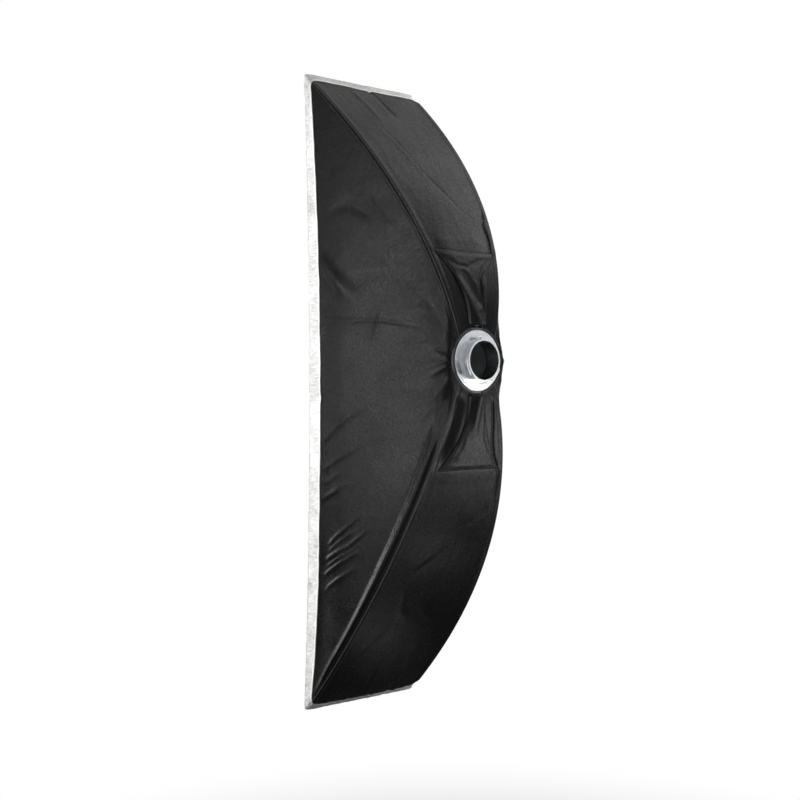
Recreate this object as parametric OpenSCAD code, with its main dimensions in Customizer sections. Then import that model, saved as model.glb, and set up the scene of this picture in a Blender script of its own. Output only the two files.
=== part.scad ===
// Studio strip softbox: a cloth shell stretched by four sprung rods over a turning speed ring.
// Origin: centre of the bayonet seat. +Y runs back to the lamp, -Y to the lit front, +Z is up.

/* [Front] */
// Width of the front over the rim band
front_w = 350; // [300:5:400]
// Height of the front over the rim band
front_h = 1600; // [1200:10:1800]
// Depth of the pale rim band, front to back
band_depth = 22; // [16:1:30]
// How far the side rim band flares out over its depth
band_side_flare = 3.5; // [2:0.5:6]
// How far the top and bottom rim bands flare out over their depth
band_end_flare = 18; // [12:1:24]
// Thickness of the rim band
band_t = 1.6; // [1.2:0.1:2.4]
// How far the long front edges draw in at mid height
long_edge_bow = 16; // [4:1:24]
// How far the short front edges draw in at mid width
short_edge_bow = 4; // [1:1:8]
// How far the centre of the front hangs below the lamp axis
front_drop = 75; // [30:5:100]
// Width of the lip and of its fastening tapes
lip_w = 25; // [18:1:35]
// Thickness of the lip
lip_t = 1.2; // [0.8:0.1:2]
// Thickness of one fastening tape
tape_t = 1; // [0.6:0.1:1.6]
// Thickness of the front diffuser
diffuser_t = 1.2; // [0.8:0.1:2]
// How far the front diffuser lies behind the front edge
diffuser_recess = 3; // [2:0.5:6]

/* [Shell] */
// Depth from the bayonet seat to the front edge
box_depth = 453; // [400:1:520]
// Thickness of the shell cloth
cloth_t = 1.2; // [0.8:0.1:1.8]
// Radius of the round hole in the shell at the speed ring
cloth_hole_r = 74; // [73:0.5:76]
// Angle from the side axis to the seams at the speed ring
seam_angle = 42; // [40:1:46]
// Power of the curve that the sprung seams follow
seam_curve = 1.86; // [1.75:0.01:2]
// Power of the curve along the middle of a side panel
side_curve = 1.35; // [1.3:0.01:1.5]
// Outward bow of the upper seams
upper_seam_bow = 15; // [5:1:25]
// Outward bow of the lower seams
lower_seam_bow = 36; // [20:1:45]
// Depth of the notch that each side panel has beside the speed ring
notch_depth = 13; // [6:1:18]
// Half angle of that notch
notch_half_angle = 25; // [18:1:28]
// Radius of the piping in the seams
piping_r = 1.9; // [1.4:0.1:2.6]
// Free gap between sewn pieces
sewn_gap = 0.4; // [0.3:0.1:0.6]
// Thickness of the elastic cuff round the hole
cuff_t = 0.9; // [0.6:0.1:1.2]
// Width of the elastic cuff round the hole
cuff_w = 4; // [3:0.5:6]

/* [Flaps] */
// Height of a flap's hinge line from the lamp axis
flap_hinge_z = 255; // [235:5:280]
// Height of a flap's free end from the lamp axis
flap_end_z = 82; // [80:1:90]
// Half width of a flap along its hinge
flap_hinge_half_w = 94; // [84:1:98]
// Half width of a flap at its free end
flap_end_half_w = 26; // [24:1:32]
// Height of a flap above the shell
flap_lift = 2.8; // [2.6:0.1:3.4]
// Extra height of a flap's middle at its free end
flap_arch = 14; // [8:1:20]
// Thickness of a flap
flap_t = 1.2; // [0.8:0.1:1.6]
// Radius of the rolled hem on the hinge line
hem_r = 2.1; // [1.6:0.1:2.2]
// Half length of the rolled hem
hem_half_l = 40; // [30:1:50]
// Half width of the access slot under a flap
slot_half_w = 14; // [12:1:16]
// Height of the closed end of the slot from the lamp axis
slot_end_z = 205; // [180:5:220]
// Length of a hook patch that holds a flap
patch_l = 34; // [20:1:50]

/* [Bayonet] */
// Radius of the clear bore for the lamp
lamp_bore_r = 45; // [42:0.5:46]
// Outer radius of the bayonet tube
tube_r = 49; // [48:0.5:50]
// Length of the bayonet tube behind the seat
tube_l = 22; // [18:1:26]
// Outer radius of the bayonet lugs
lug_r = 54; // [52:0.5:55]
// Number of bayonet lugs
lug_count = 3; // [3:1:4]
// Angle that one lug spans
lug_angle = 40; // [30:1:50]
// Thickness of a lug
lug_t = 5; // [4:0.5:6]
// Inner radius of the seat
seat_in_r = 56; // [55.5:0.5:58]
// Outer radius of the seat
seat_out_r = 65; // [62:0.5:67]
// Height of the seat above the flange
seat_h = 1; // [0.5:0.1:1.5]
// Outer radius of the bayonet flange
flange_r = 70; // [68:0.5:72]
// Thickness of the bayonet flange with its seat
flange_t = 4; // [3:0.5:6]

/* [Speed ring] */
// Outer radius of the speed ring
ring_r = 77; // [76:0.5:79]
// Thickness of the speed ring
ring_t = 12; // [10:0.5:16]
// Chamfer at the back rim of the speed ring
ring_chamfer = 1.5; // [0.5:0.1:2]
// Radius of the hub that the speed ring turns on
hub_r = 56; // [55:0.5:58]
// Running clearance of the hub in the speed ring
hub_gap = 0.06; // [0.02:0.01:0.1]
// Thickness of the friction washer
washer_t = 1; // [0.6:0.1:1.6]
// Thickness of the retaining ring
retainer_t = 3; // [2:0.5:4]
// Outer radius of the retaining ring
retainer_r = 62; // [60:0.5:63]
// Axial play of the speed ring on the hub
ring_play = 0.8; // [0.4:0.1:1.2]
// Number of retaining ring screws
retainer_screw_count = 6; // [4:1:8]
// Thread radius of the retaining ring screws
retainer_screw_r = 1.5; // [1.25:0.25:2]
// Radius of the lock screw
lock_r = 3; // [2.5:0.5:4]
// Radius of the lock knob
knob_r = 10; // [8:0.5:11]
// Length of the lock knob
knob_l = 14; // [10:1:18]
// Travel of the lock shoe
lock_travel = 1.5; // [1:0.1:2]
// Thickness of the ears that carry the rod sockets
ear_t = 6.5; // [5:0.5:7]
// How far an ear reaches in over the speed ring from its socket foot
ear_reach = 22; // [20:1:28]

/* [Rods] */
// Radius of a sprung rod
rod_r = 2.5; // [2:0.1:3]
// Inset of the rods from the seams, sideways
rod_inset_x = 7.8; // [7.6:0.1:9]
// Inset of the rods from the seams at the speed ring, to the front
rod_inset_root = 24; // [23:0.5:28]
// Inset of the rods from the seams at the corners, to the front
rod_inset_tip = 6; // [5:0.5:8]
// Inset of the rods from the seams at the corners, upright
rod_inset_z = 6; // [5:0.5:8]
// Radius of a rod ferrule
ferrule_r = 3.5; // [3.2:0.1:4]
// Length of a rod ferrule
ferrule_l = 42; // [36:1:48]
// Outer radius of a rod socket
socket_r = 7; // [6:0.5:7.5]
// Length of a rod socket
socket_l = 34; // [28:1:36]
// Floor thickness of a rod socket
socket_floor = 4; // [3:0.5:6]
// Free radial gap of a slip fit
slip_gap = 0.25; // [0.2:0.05:0.4]
// Half width of a socket foot
foot_half_w = 14.5; // [14:0.5:15]
// Half length of a socket foot
foot_half_l = 11; // [9:0.5:12]
// Thickness of a socket foot
foot_t = 5; // [4:0.5:6]
// Thread radius of the socket screws
socket_screw_r = 1.75; // [1.5:0.25:2]
// Radius of a rod tip
tip_r = 4; // [3.4:0.1:4.5]
// Length of a rod tip
tip_l = 14; // [10:1:18]
// Wall of a corner pocket
pocket_wall = 1.8; // [1.4:0.1:2.4]

/* [Baffle] */
// Distance of the inner baffle from the bayonet seat
baffle_y = 250; // [220:5:280]
// Half width of the inner baffle
baffle_half_w = 106; // [90:1:110]
// Half height of the inner baffle
baffle_half_h = 510; // [450:5:525]
// Thickness of the inner baffle
baffle_t = 1.2; // [0.8:0.1:1.6]
// Width of a baffle strap
strap_w = 14; // [10:1:15]
// Thickness of a baffle strap
strap_t = 1.5; // [1:0.1:2]
// Length of a baffle strap that is sewn on the baffle
strap_hold = 24; // [16:1:30]

/* [Hidden] */
CORNERS = ["upper_right", "lower_right", "upper_left", "lower_left"];
ENDS = ["upper", "lower"];

cloth_black = "#2a2a2c";
trim_black = "#161617";
band_white = "#dfe0e2";
sheet_white = "#f2f2ee";
metal_grey = "#a9abae";
metal_black = "#1c1d1f";
fibre_grey = "#3d3f40";

round_fn = 72;
small_fn = 32;
rod_sides = 8;
panel_rows = 14;
panel_cols = 10;
panel_row_power = 1.6;
band_long_cells = 12;
opening_long_cells = 16;
short_cells = 8;
curve_step_share = 0.002;
share_halvings = 24;

// Overshoot of a cutter past a face, and overlap of joined shapes
lap = 1;

// Axial stations along Y, from the lamp side to the front
ring_back_y = -flange_t - washer_t;
ring_front_y = ring_back_y - ring_t;
hub_front_y = ring_front_y - ring_play;
retainer_front_y = hub_front_y - retainer_t;
seat_gap = 0.3;
shell_back_y = ring_back_y + seat_gap + cloth_t / 2;
edge_y = -(box_depth - band_depth);
panel_depth = shell_back_y - edge_y;
diffuser_front_y = -(box_depth - diffuser_recess);
diffuser_back_y = diffuser_front_y + diffuser_t;
loop_back_y = diffuser_back_y + tape_t;
hook_back_y = loop_back_y + tape_t;
lip_back_y = hook_back_y + lip_t;

// Half sizes of the shell's front edge, where the rim band begins
edge_x = front_w / 2 - band_side_flare;
edge_z = front_h / 2 - band_end_flare;
band_mitre = band_t / 2 + sewn_gap;
seam_trim = piping_r + sewn_gap;
piping_first_share = 0.015;
piping_last_share = 0.99;

// Rods start on the seam curve at this share of its length
rod_first_share = 0.07;
rod_last_share = 0.985;
rod_rings = 24;
rod_grip = 16;
rod_fit = 0.2;
rod_bore_r = rod_r + rod_fit;
tip_floor = 3;
pocket_r = tip_r + slip_gap + pocket_wall;
pocket_setback = 2;

lock_y = (ring_back_y + ring_front_y) / 2;
lock_gap = 0.2;
lock_shoe_gap = 0.4;
lock_shoe_l = 8;
knob_play = 0.5;
knob_gap = lock_travel + knob_play;
screw_head_k = 1.9;
screw_hex_k = 0.8;
screw_head_h = 2.4;
screw_depth = 7;
retainer_screw_pcr = (lamp_bore_r + hub_r) / 2;
retainer_step = 1;
washer_margin = 1;
lug_setback = 2;
foot_margin = 0.6;

cuff_gap = 2;
cuff_gap_angle = 2;
flap_taper_power = 2.2;
flap_level_power = 3;
patch_margin = 2;
patch_setback = 6;
tape_inset = 1;
baffle_drop_share = 0.65;
baffle_mid_z = -front_drop * baffle_drop_share;

function lerp(a, b, u) = a + (b - a) * u;
function unit(v) = v / norm(v);
function arch(u) = 4 * u * (1 - u);
function seam_bow(up) = up > 0 ? upper_seam_bow : lower_seam_bow;

// Ring end and front end of a side panel, s running from -1 at the lower seam to 1 at the upper
function notch(angle) = notch_depth * max(0, 1 - abs(angle) / notch_half_angle);
function side_root(s) =
  let (a = s * seam_angle)
  (cloth_hole_r + notch(a)) * [cos(a), sin(a)];
function side_front(s) = [edge_x - long_edge_bow * (1 - s * s), s * edge_z - front_drop];
function side_point(t, s) =
  let (a = side_root(s), b = side_front(s), power = lerp(side_curve, seam_curve, s * s))
  [lerp(a.x, b.x, t) + seam_bow(s) * s * s * arch(t),
   shell_back_y - panel_depth * pow(t, power),
   lerp(a.y, b.y, t)];

// The same for a top or bottom panel, s running from -1 at the left seam to 1 at the right
function end_root(up, s) = cloth_hole_r * [sin(s * (90 - seam_angle)), up * cos(s * (90 - seam_angle))];
function end_front(up, s) = [edge_x * s, up * (edge_z - short_edge_bow * (1 - s * s)) - front_drop];
function end_point(up, t, s) =
  let (a = end_root(up, s), b = end_front(up, s))
  [lerp(a.x, b.x, t) + s * seam_bow(up) * arch(t),
   shell_back_y - panel_depth * pow(t, seam_curve),
   lerp(a.y, b.y, t)];
function end_t(up, z, s) = (z - end_root(up, s).y) / (end_front(up, s).y - end_root(up, s).y);
function seam(up, t) = end_point(up, t, 1);

function surface_normal(f, t, s, turn) =
  let (along = f(min(t + curve_step_share, 1), s) - f(max(t - curve_step_share, 0), s))
  let (across = f(t, s + curve_step_share) - f(t, s - curve_step_share))
  turn * unit(cross(along, across));
function raised(f, t, s, turn, h) = f(t, s) + h * surface_normal(f, t, s, turn);

// Closed sheet over a grid of surface points: keep(row, col) leaves cells out
module sheet(f, turn, ts, ss, low, high, keep = function(i, j) true) {
  rows = len(ts);
  cols = len(ss(0));
  count = rows * cols;
  points = [for (h = [high, low]) for (i = [0:rows - 1]) for (j = [0:cols - 1])
    raised(f, ts[i], ss(i)[j], turn, h)];
  has = function(i, j) i >= 0 && j >= 0 && i < rows - 1 && j < cols - 1 && keep(i, j);
  at = function(i, j) i * cols + j;
  flip = function(a, b, c) turn > 0 ? [a, b, c] : [c, b, a];
  faces = [for (i = [0:rows - 2]) for (j = [0:cols - 2]) if (has(i, j))
    let (a = at(i, j), b = at(i, j + 1), c = at(i + 1, j + 1), d = at(i + 1, j))
    for (q = concat(
      [[a, c, b], [a, d, c]],
      [[a + count, b + count, c + count], [a + count, c + count, d + count]],
      has(i - 1, j) ? [] : [[a, b, b + count], [a, b + count, a + count]],
      has(i + 1, j) ? [] : [[c, d, d + count], [c, d + count, c + count]],
      has(i, j - 1) ? [] : [[d, a, a + count], [d, a + count, d + count]],
      has(i, j + 1) ? [] : [[b, c, c + count], [b, c + count, b + count]]))
    flip(q[0], q[2], q[1])];
  polyhedron(points, faces, convexity = 6);
}

// Tube swept along a list of points, with flat ends
module tube_along(path, r, sides) {
  n = len(path);
  side_way = [1, 0, 0];
  tangents = [for (i = [0:n - 1]) unit(path[min(i + 1, n - 1)] - path[max(i - 1, 0)])];
  points = [for (i = [0:n - 1])
    let (u = unit(cross(tangents[i], side_way)), v = cross(tangents[i], u))
    for (k = [0:sides - 1]) path[i] + r * (cos(360 * k / sides) * u + sin(360 * k / sides) * v)];
  walls = [for (i = [0:n - 2]) for (k = [0:sides - 1])
    let (a = i * sides + k, b = i * sides + (k + 1) % sides)
    for (q = [[a, a + sides, b], [b, a + sides, b + sides]]) q];
  caps = [[for (k = [0:sides - 1]) k], [for (k = [sides - 1:-1:0]) (n - 1) * sides + k]];
  polyhedron(points, concat(walls, caps), convexity = 6);
}

module turned() {
  rotate([-90, 0, 0]) rotate_extrude($fn = round_fn) children();
}

// Stands a child that is built along +Z on a point, along a direction
module along(point, way) {
  translate(point) rotate([0, acos(way.z), atan2(way.y, way.x)]) children();
}

module on_side(right) {
  if (right) children();
  else mirror([1, 0, 0]) children();
}

module at_corner(k) {
  on_side(k < 2) children();
}
function corner_up(k) = k % 2 == 0 ? 1 : -1;

// Bayonet and speed ring

module bayonet_insert() {
  color(metal_grey) difference() {
    union() {
      turned() polygon([
        [lamp_bore_r, hub_front_y], [hub_r, hub_front_y], [hub_r, -flange_t], [flange_r, -flange_t],
        [flange_r, -seat_h], [seat_out_r, -seat_h], [seat_out_r, 0], [seat_in_r, 0],
        [seat_in_r, -seat_h], [tube_r, -seat_h], [tube_r, tube_l], [lamp_bore_r, tube_l]]);
      for (k = [0:lug_count - 1])
        rotate([-90, 0, 0]) rotate([0, 0, 360 * k / lug_count])
          rotate_extrude(angle = lug_angle, $fn = round_fn)
            translate([tube_r - lap, tube_l - lug_t - lug_setback]) square([lug_r - tube_r + lap, lug_t]);
    }
    retainer_screw_places() cylinder(r = retainer_screw_r + lock_gap, h = screw_depth, $fn = small_fn);
  }
}

// Places of the retaining screws on the hub's front face, local +Z pointing back into the hub
module retainer_screw_places() {
  for (k = [0:retainer_screw_count - 1])
    rotate([0, 360 * k / retainer_screw_count, 0])
      translate([retainer_screw_pcr, hub_front_y, 0]) rotate([-90, 0, 0]) children();
}

module retaining_ring() {
  color(metal_black) difference() {
    turned() translate([lamp_bore_r + retainer_step, retainer_front_y])
      square([retainer_r - lamp_bore_r - retainer_step, retainer_t]);
    retainer_screw_places() translate([0, 0, -retainer_t - lap])
      cylinder(r = retainer_screw_r + lock_gap, h = retainer_t + 2 * lap, $fn = small_fn);
  }
}

module cap_screw(r, grip) {
  translate([0, 0, -grip]) cylinder(r = r, h = grip + screw_depth - lap, $fn = small_fn);
  translate([0, 0, -grip - screw_head_h]) difference() {
    cylinder(r = r * screw_head_k, h = screw_head_h, $fn = small_fn);
    translate([0, 0, -lap]) cylinder(r = r * screw_hex_k, h = screw_head_h / 2 + lap, $fn = 6);
  }
}

module retaining_screws() {
  color(metal_grey) retainer_screw_places() cap_screw(retainer_screw_r, retainer_t);
}

module friction_washer() {
  color(trim_black) turned() translate([hub_r + washer_margin, ring_back_y])
    square([flange_r - hub_r - 2 * washer_margin, washer_t]);
}

// Rod ends at the speed ring: the start of the free rod and the line of its socket
function rod_inset(up, t) =
  [-rod_inset_x, -lerp(rod_inset_root, rod_inset_tip, t), -up * rod_inset_z * t];
function rod_point(up, t) = seam(up, t) + rod_inset(up, t);
function rod_way(up, t) =
  unit(rod_point(up, t + curve_step_share) - rod_point(up, t - curve_step_share));
function socket_way(up) = rod_way(up, rod_first_share);
function socket_root(up) = rod_point(up, rod_first_share) - (ferrule_l + socket_floor) * socket_way(up);
function socket_mid(up) = socket_root(up) + socket_l / 2 * socket_way(up);

// Seat of a socket foot on the ring's front face, local Z along the socket and local Y to the back
module socket_foot_place(up) {
  m = socket_mid(up);
  way = socket_way(up);
  translate([m.x, ring_front_y, m.z]) rotate([0, atan2(way.x, way.z), 0]) children();
}

// Block on the seat from a front to a back depth, drawn out towards the ring's middle by a reach
module foot_block(back, front, reach) {
  translate([-foot_half_w, front, -foot_half_l - reach])
    cube([2 * foot_half_w, back - front, 2 * foot_half_l + reach]);
}

module foot_screw_places() {
  inset = socket_screw_r * screw_head_k + foot_margin;
  for (k = [-1, 1])
    translate([k * (foot_half_w - inset), 0, k * (foot_half_l - inset)]) rotate([-90, 0, 0]) children();
}

// Ears that carry the sockets, ending inside the ring short of its bore
module ring_ears() {
  difference() {
    for (right = [true, false]) for (up = [1, -1]) on_side(right) socket_foot_place(up)
      foot_block(ear_t, 0, ear_reach);
    translate([0, ring_back_y, 0]) rotate([90, 0, 0])
      cylinder(r = hub_r + hub_gap + lap, h = ring_t + lap, $fn = round_fn);
  }
}

module speed_ring() {
  color(metal_black) difference() {
    union() {
      turned() polygon([
        [hub_r + hub_gap, ring_front_y], [ring_r, ring_front_y], [ring_r, ring_back_y - ring_chamfer],
        [ring_r - ring_chamfer, ring_back_y], [hub_r + hub_gap, ring_back_y]]);
      ring_ears();
    }
    for (right = [true, false]) for (up = [1, -1]) on_side(right) socket_foot_place(up)
      foot_screw_places() translate([0, 0, -lap])
        cylinder(r = socket_screw_r + lock_gap, h = screw_depth + foot_margin, $fn = small_fn);
    translate([0, lock_y, 0]) cylinder(r = lock_r + lock_gap, h = ring_r + lap, $fn = small_fn);
  }
}

module rod_socket(k) {
  up = corner_up(k);
  color(metal_grey) at_corner(k) difference() {
    union() {
      along(socket_root(up), socket_way(up)) cylinder(r = socket_r, h = socket_l, $fn = small_fn);
      socket_foot_place(up) foot_block(0, -foot_t, 0);
    }
    along(socket_root(up) + socket_floor * socket_way(up), socket_way(up))
      cylinder(r = ferrule_r + slip_gap, h = socket_l, $fn = small_fn);
    socket_foot_place(up) foot_screw_places() translate([0, 0, -foot_t - lap])
      cylinder(r = socket_screw_r + lock_gap, h = foot_t + 2 * lap, $fn = small_fn);
  }
}

module socket_screws() {
  color(metal_grey) for (right = [true, false]) for (up = [1, -1]) on_side(right)
    socket_foot_place(up) foot_screw_places() cap_screw(socket_screw_r, foot_t);
}

module lock_shoe() {
  color("#b08d4a") translate([0, lock_y, hub_r + lock_shoe_gap])
    cylinder(r = lock_r, h = lock_shoe_l, $fn = small_fn);
}

module lock_screw() {
  shank_z = hub_r + lock_shoe_gap + lock_shoe_l;
  knob_z = ring_r + knob_gap;
  color(metal_black) translate([0, lock_y, 0]) {
    translate([0, 0, shank_z]) cylinder(r = lock_r, h = knob_z - shank_z + lap, $fn = small_fn);
    translate([0, 0, knob_z]) cylinder(r = knob_r, h = knob_l, $fn = small_fn);
  }
}

// Sprung rods

module rod_ferrule(k) {
  up = corner_up(k);
  way = socket_way(up);
  start = socket_root(up) + socket_floor * way;
  color(metal_grey) at_corner(k) difference() {
    along(start + seat_gap * way, way) cylinder(r = ferrule_r, h = ferrule_l - seat_gap, $fn = small_fn);
    along(start + (ferrule_l - rod_grip - lap) * way, way)
      cylinder(r = rod_bore_r, h = rod_grip + 2 * lap, $fn = small_fn);
  }
}

module rod(k) {
  up = corner_up(k);
  first = rod_point(up, rod_first_share);
  last = rod_point(up, rod_last_share);
  curve = [for (i = [0:rod_rings]) rod_point(up, lerp(rod_first_share, rod_last_share, i / rod_rings))];
  tail = (tip_l - tip_floor - seat_gap) * rod_way(up, rod_last_share);
  color(fibre_grey) at_corner(k)
    tube_along(concat([first - rod_grip * socket_way(up)], curve, [last + tail]), rod_r, rod_sides);
}

module rod_tip(k) {
  up = corner_up(k);
  way = rod_way(up, rod_last_share);
  color(trim_black) at_corner(k) along(rod_point(up, rod_last_share), way) difference() {
    cylinder(r = tip_r, h = tip_l, $fn = small_fn);
    translate([0, 0, -lap]) cylinder(r = rod_bore_r, h = tip_l - tip_floor + lap, $fn = small_fn);
  }
}

module corner_pocket(k) {
  up = corner_up(k);
  way = rod_way(up, rod_last_share);
  mouth = rod_point(up, rod_last_share) + pocket_setback * way;
  inside = tip_l - pocket_setback + seat_gap;
  color(trim_black) at_corner(k) along(mouth, way) difference() {
    cylinder(r = pocket_r, h = inside + pocket_wall, $fn = small_fn);
    translate([0, 0, -lap]) cylinder(r = tip_r + slip_gap, h = inside + lap, $fn = small_fn);
  }
}

// Cloth shell

function shares(n) = [for (i = [0:n]) i / n];
// Rows lie closer together at the ring, where the panels curve most
function panel_ts() = [for (u = shares(panel_rows)) pow(u, panel_row_power)];
// How far a panel reaches across at a seam, leaving room for the piping square to the seam
function seam_reach(f, t, s) =
  let (along = f(min(t + curve_step_share, 1), s) - f(max(t - curve_step_share, 0), s))
  let (across = (f(t, s + curve_step_share) - f(t, s - curve_step_share)) / (2 * curve_step_share))
  s * (1 - seam_trim / norm(cross(unit(along), across)));

module side_panel(right) {
  ts = panel_ts();
  at = function(t, s) side_point(t, s);
  ss = function(i)
    let (low = seam_reach(at, ts[i], -1), high = seam_reach(at, ts[i], 1))
    [for (u = shares(panel_cols)) lerp(low, high, u)];
  color(cloth_black) on_side(right) sheet(at, -1, ts, ss, -cloth_t / 2, cloth_t / 2);
}

// Columns of an end panel: the middle two cells are left out from the ring to the end of the slot
module end_panel(up) {
  slot_t = end_t(up, up * slot_end_z, 0);
  slot_rows = 5;
  ts = concat([for (u = shares(slot_rows)) slot_t * u],
    [for (u = shares(panel_rows - slot_rows)) if (u > 0) lerp(slot_t, 1, u)]);
  half = panel_cols / 2;
  at = function(t, s) end_point(up, t, s);
  ss = function(i)
    let (slot = slot_half_w / end_point(up, ts[i], 1).x, reach = seam_reach(at, ts[i], 1))
    concat(
      [for (u = shares(half - 1)) lerp(-reach, -slot, u)],
      [0],
      [for (u = shares(half - 1)) lerp(slot, reach, u)]);
  keep = function(i, j) i >= slot_rows || j < half - 1 || j > half;
  color(cloth_black) sheet(at, up, ts, ss, -cloth_t / 2, cloth_t / 2, keep);
}

module seam_piping(k) {
  up = corner_up(k);
  path = [for (u = shares(rod_rings)) seam(up, lerp(piping_first_share, piping_last_share, u))];
  color(trim_black) at_corner(k) tube_along(path, piping_r, rod_sides);
}

// Elastic cuff on the shell round the hole, between the notches and the slots
module rear_cuff() {
  cuff_y = shell_back_y + cloth_t / 2 + seat_gap;
  first = notch_half_angle + cuff_gap_angle;
  last = 90 - asin((slot_half_w + cuff_gap) / cloth_hole_r);
  color(trim_black) for (right = [true, false]) for (up = [1, -1]) on_side(right)
    scale([1, 1, up]) rotate([90, 0, 0]) rotate([0, 0, first]) mirror([0, 0, 1])
      rotate_extrude(angle = last - first, $fn = round_fn)
        translate([cloth_hole_r, cuff_y]) square([cuff_w, cuff_t]);
}

// Flaps over the access slots, u running from the hinge to the free end

function flap_half_w(u) = lerp(flap_end_half_w, flap_hinge_half_w, pow(1 - u, flap_taper_power));
function flap_base(up, u, v) =
  let (z = up * lerp(flap_hinge_z, flap_end_z, u))
  let (wide = end_point(up, end_t(up, z, 1), 1).x)
  let (s = v * flap_half_w(u) / wide)
  end_point(up, end_t(up, z, s), s);
// The flap is straight along its hem, and drops to the shell beyond the hem's ends
function flap_level(up, v) =
  let (past = abs(v) * flap_hinge_half_w - hem_half_l)
  (flap_base(up, 0, 0).y - flap_base(up, 0, v).y) * max(0, 1 - max(0, past) / hem_half_l);
function flap_rise(up, u, v) =
  flap_lift + flap_level(up, v) * pow(1 - u, flap_level_power) + flap_arch * u * u * (1 - v * v);
function flap_point(up, u, v) = flap_base(up, u, v) + [0, flap_rise(up, u, v), 0];

module flap(up) {
  rows = 10;
  cols = 8;
  hinge = flap_point(up, 0, 0);
  color(cloth_black) {
    sheet(function(u, v) flap_point(up, u, v), -up, shares(rows),
      function(i) [for (w = shares(cols)) 2 * w - 1], -flap_t / 2, flap_t / 2);
    translate(hinge) rotate([0, 90, 0])
      cylinder(r = hem_r, h = 2 * hem_half_l, center = true, $fn = small_fn);
  }
}

// Hook patches on the shell beside the slot, under the free end of a flap
module flap_patches(up) {
  rows = 4;
  inner = slot_half_w + patch_margin;
  outer = flap_end_half_w - patch_margin;
  low_z = flap_end_z + patch_setback;
  patch_t = flap_lift - flap_t / 2 - cloth_t / 2 - 2 * seat_gap;
  rise = cloth_t / 2 + seat_gap;
  at = function(u, x) let (z = up * (low_z + patch_l * u))
    let (s = x / end_point(up, end_t(up, z, 1), 1).x)
    end_point(up, end_t(up, z, s), s);
  color(trim_black) for (right = [true, false]) on_side(right)
    sheet(at, up, shares(rows), function(i) [inner, outer], rise, rise + patch_t);
}

// Rim, tapes, diffuser and baffle

function band_side_point(u, s) =
  [lerp(edge_x, front_w / 2, u) - long_edge_bow * (1 - s * s),
   lerp(edge_y - sewn_gap, -box_depth, u),
   s * lerp(edge_z, front_h / 2, u) - front_drop];
function band_end_point(up, u, s) =
  [s * lerp(edge_x, front_w / 2, u),
   lerp(edge_y - sewn_gap, -box_depth, u),
   up * (lerp(edge_z, front_h / 2, u) - short_edge_bow * (1 - s * s)) - front_drop];

module rim_band_side(right) {
  reach = 1 - band_mitre / edge_z;
  color(band_white) on_side(right)
    sheet(function(u, s) band_side_point(u, s), -1, [0, 1],
      function(i) [for (w = shares(band_long_cells)) lerp(-reach, reach, w)], -band_t / 2, band_t / 2);
}

module rim_band_end(up) {
  reach = 1 - band_mitre / edge_x;
  color(band_white)
    sheet(function(u, s) band_end_point(up, u, s), up, [0, 1],
      function(i) [for (w = shares(short_cells)) lerp(-reach, reach, w)], -band_t / 2, band_t / 2);
}

// Outline of the opening inside the band at a depth, drawn in by an inset
module opening(y, inset) {
  u = (edge_y - y) / band_depth;
  slope_x = band_side_flare / band_depth;
  slope_z = band_end_flare / band_depth;
  wall_x = band_t / 2 * sqrt(1 + slope_x * slope_x) + sewn_gap + inset;
  wall_z = band_t / 2 * sqrt(1 + slope_z * slope_z) + sewn_gap + inset;
  half_x = lerp(edge_x, front_w / 2, u) - wall_x;
  half_z = lerp(edge_z, front_h / 2, u) - wall_z;
  right = [for (w = shares(opening_long_cells))
    let (s = 2 * w - 1) [half_x - long_edge_bow * (1 - s * s), s * half_z]];
  top = [for (w = shares(short_cells))
    let (s = 1 - 2 * w) [s * half_x, half_z - short_edge_bow * (1 - s * s)]];
  polygon(concat(right, top, -1 * right, -1 * top));
}

// Flat layer between two depths, its outline fitting the narrower back face
module layer(back_y, front_y) {
  translate([0, back_y, -front_drop]) rotate([90, 0, 0])
    linear_extrude(height = back_y - front_y) children();
}

module corner_cuts() {
  for (a = [-1, 1]) for (b = [-1, 1])
    translate([a * (edge_x - lip_w), b * (edge_z - lip_w)]) rotate([0, 0, a * b * 45])
      square([4 * lip_w, sewn_gap], center = true);
}

module rim_lip() {
  color(cloth_black) layer(lip_back_y, hook_back_y) difference() {
    opening(lip_back_y, 0);
    opening(lip_back_y, lip_w);
  }
}

module tape_strips(y) {
  difference() {
    opening(y, tape_inset);
    opening(y, lip_w - tape_inset);
    corner_cuts();
  }
}

module hook_tape() {
  color(trim_black) layer(hook_back_y, loop_back_y) tape_strips(lip_back_y);
}

module loop_tape() {
  color(sheet_white) layer(loop_back_y, diffuser_back_y) tape_strips(lip_back_y);
}

module front_diffuser() {
  color(sheet_white) layer(diffuser_back_y, diffuser_front_y) opening(diffuser_back_y, 0);
}

module inner_baffle() {
  color(sheet_white) translate([0, -baffle_y, baffle_mid_z])
    cube([2 * baffle_half_w, baffle_t, 2 * baffle_half_h], center = true);
}

// Share of the seam curve at which a rod crosses the plane of the straps
function rod_share(up, y, lo = 0, hi = 1, left = share_halvings) =
  let (mid = (lo + hi) / 2, further = rod_point(up, mid).y > y)
  left == 0 ? mid : rod_share(up, y, further ? mid : lo, further ? hi : mid, left - 1);

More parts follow.
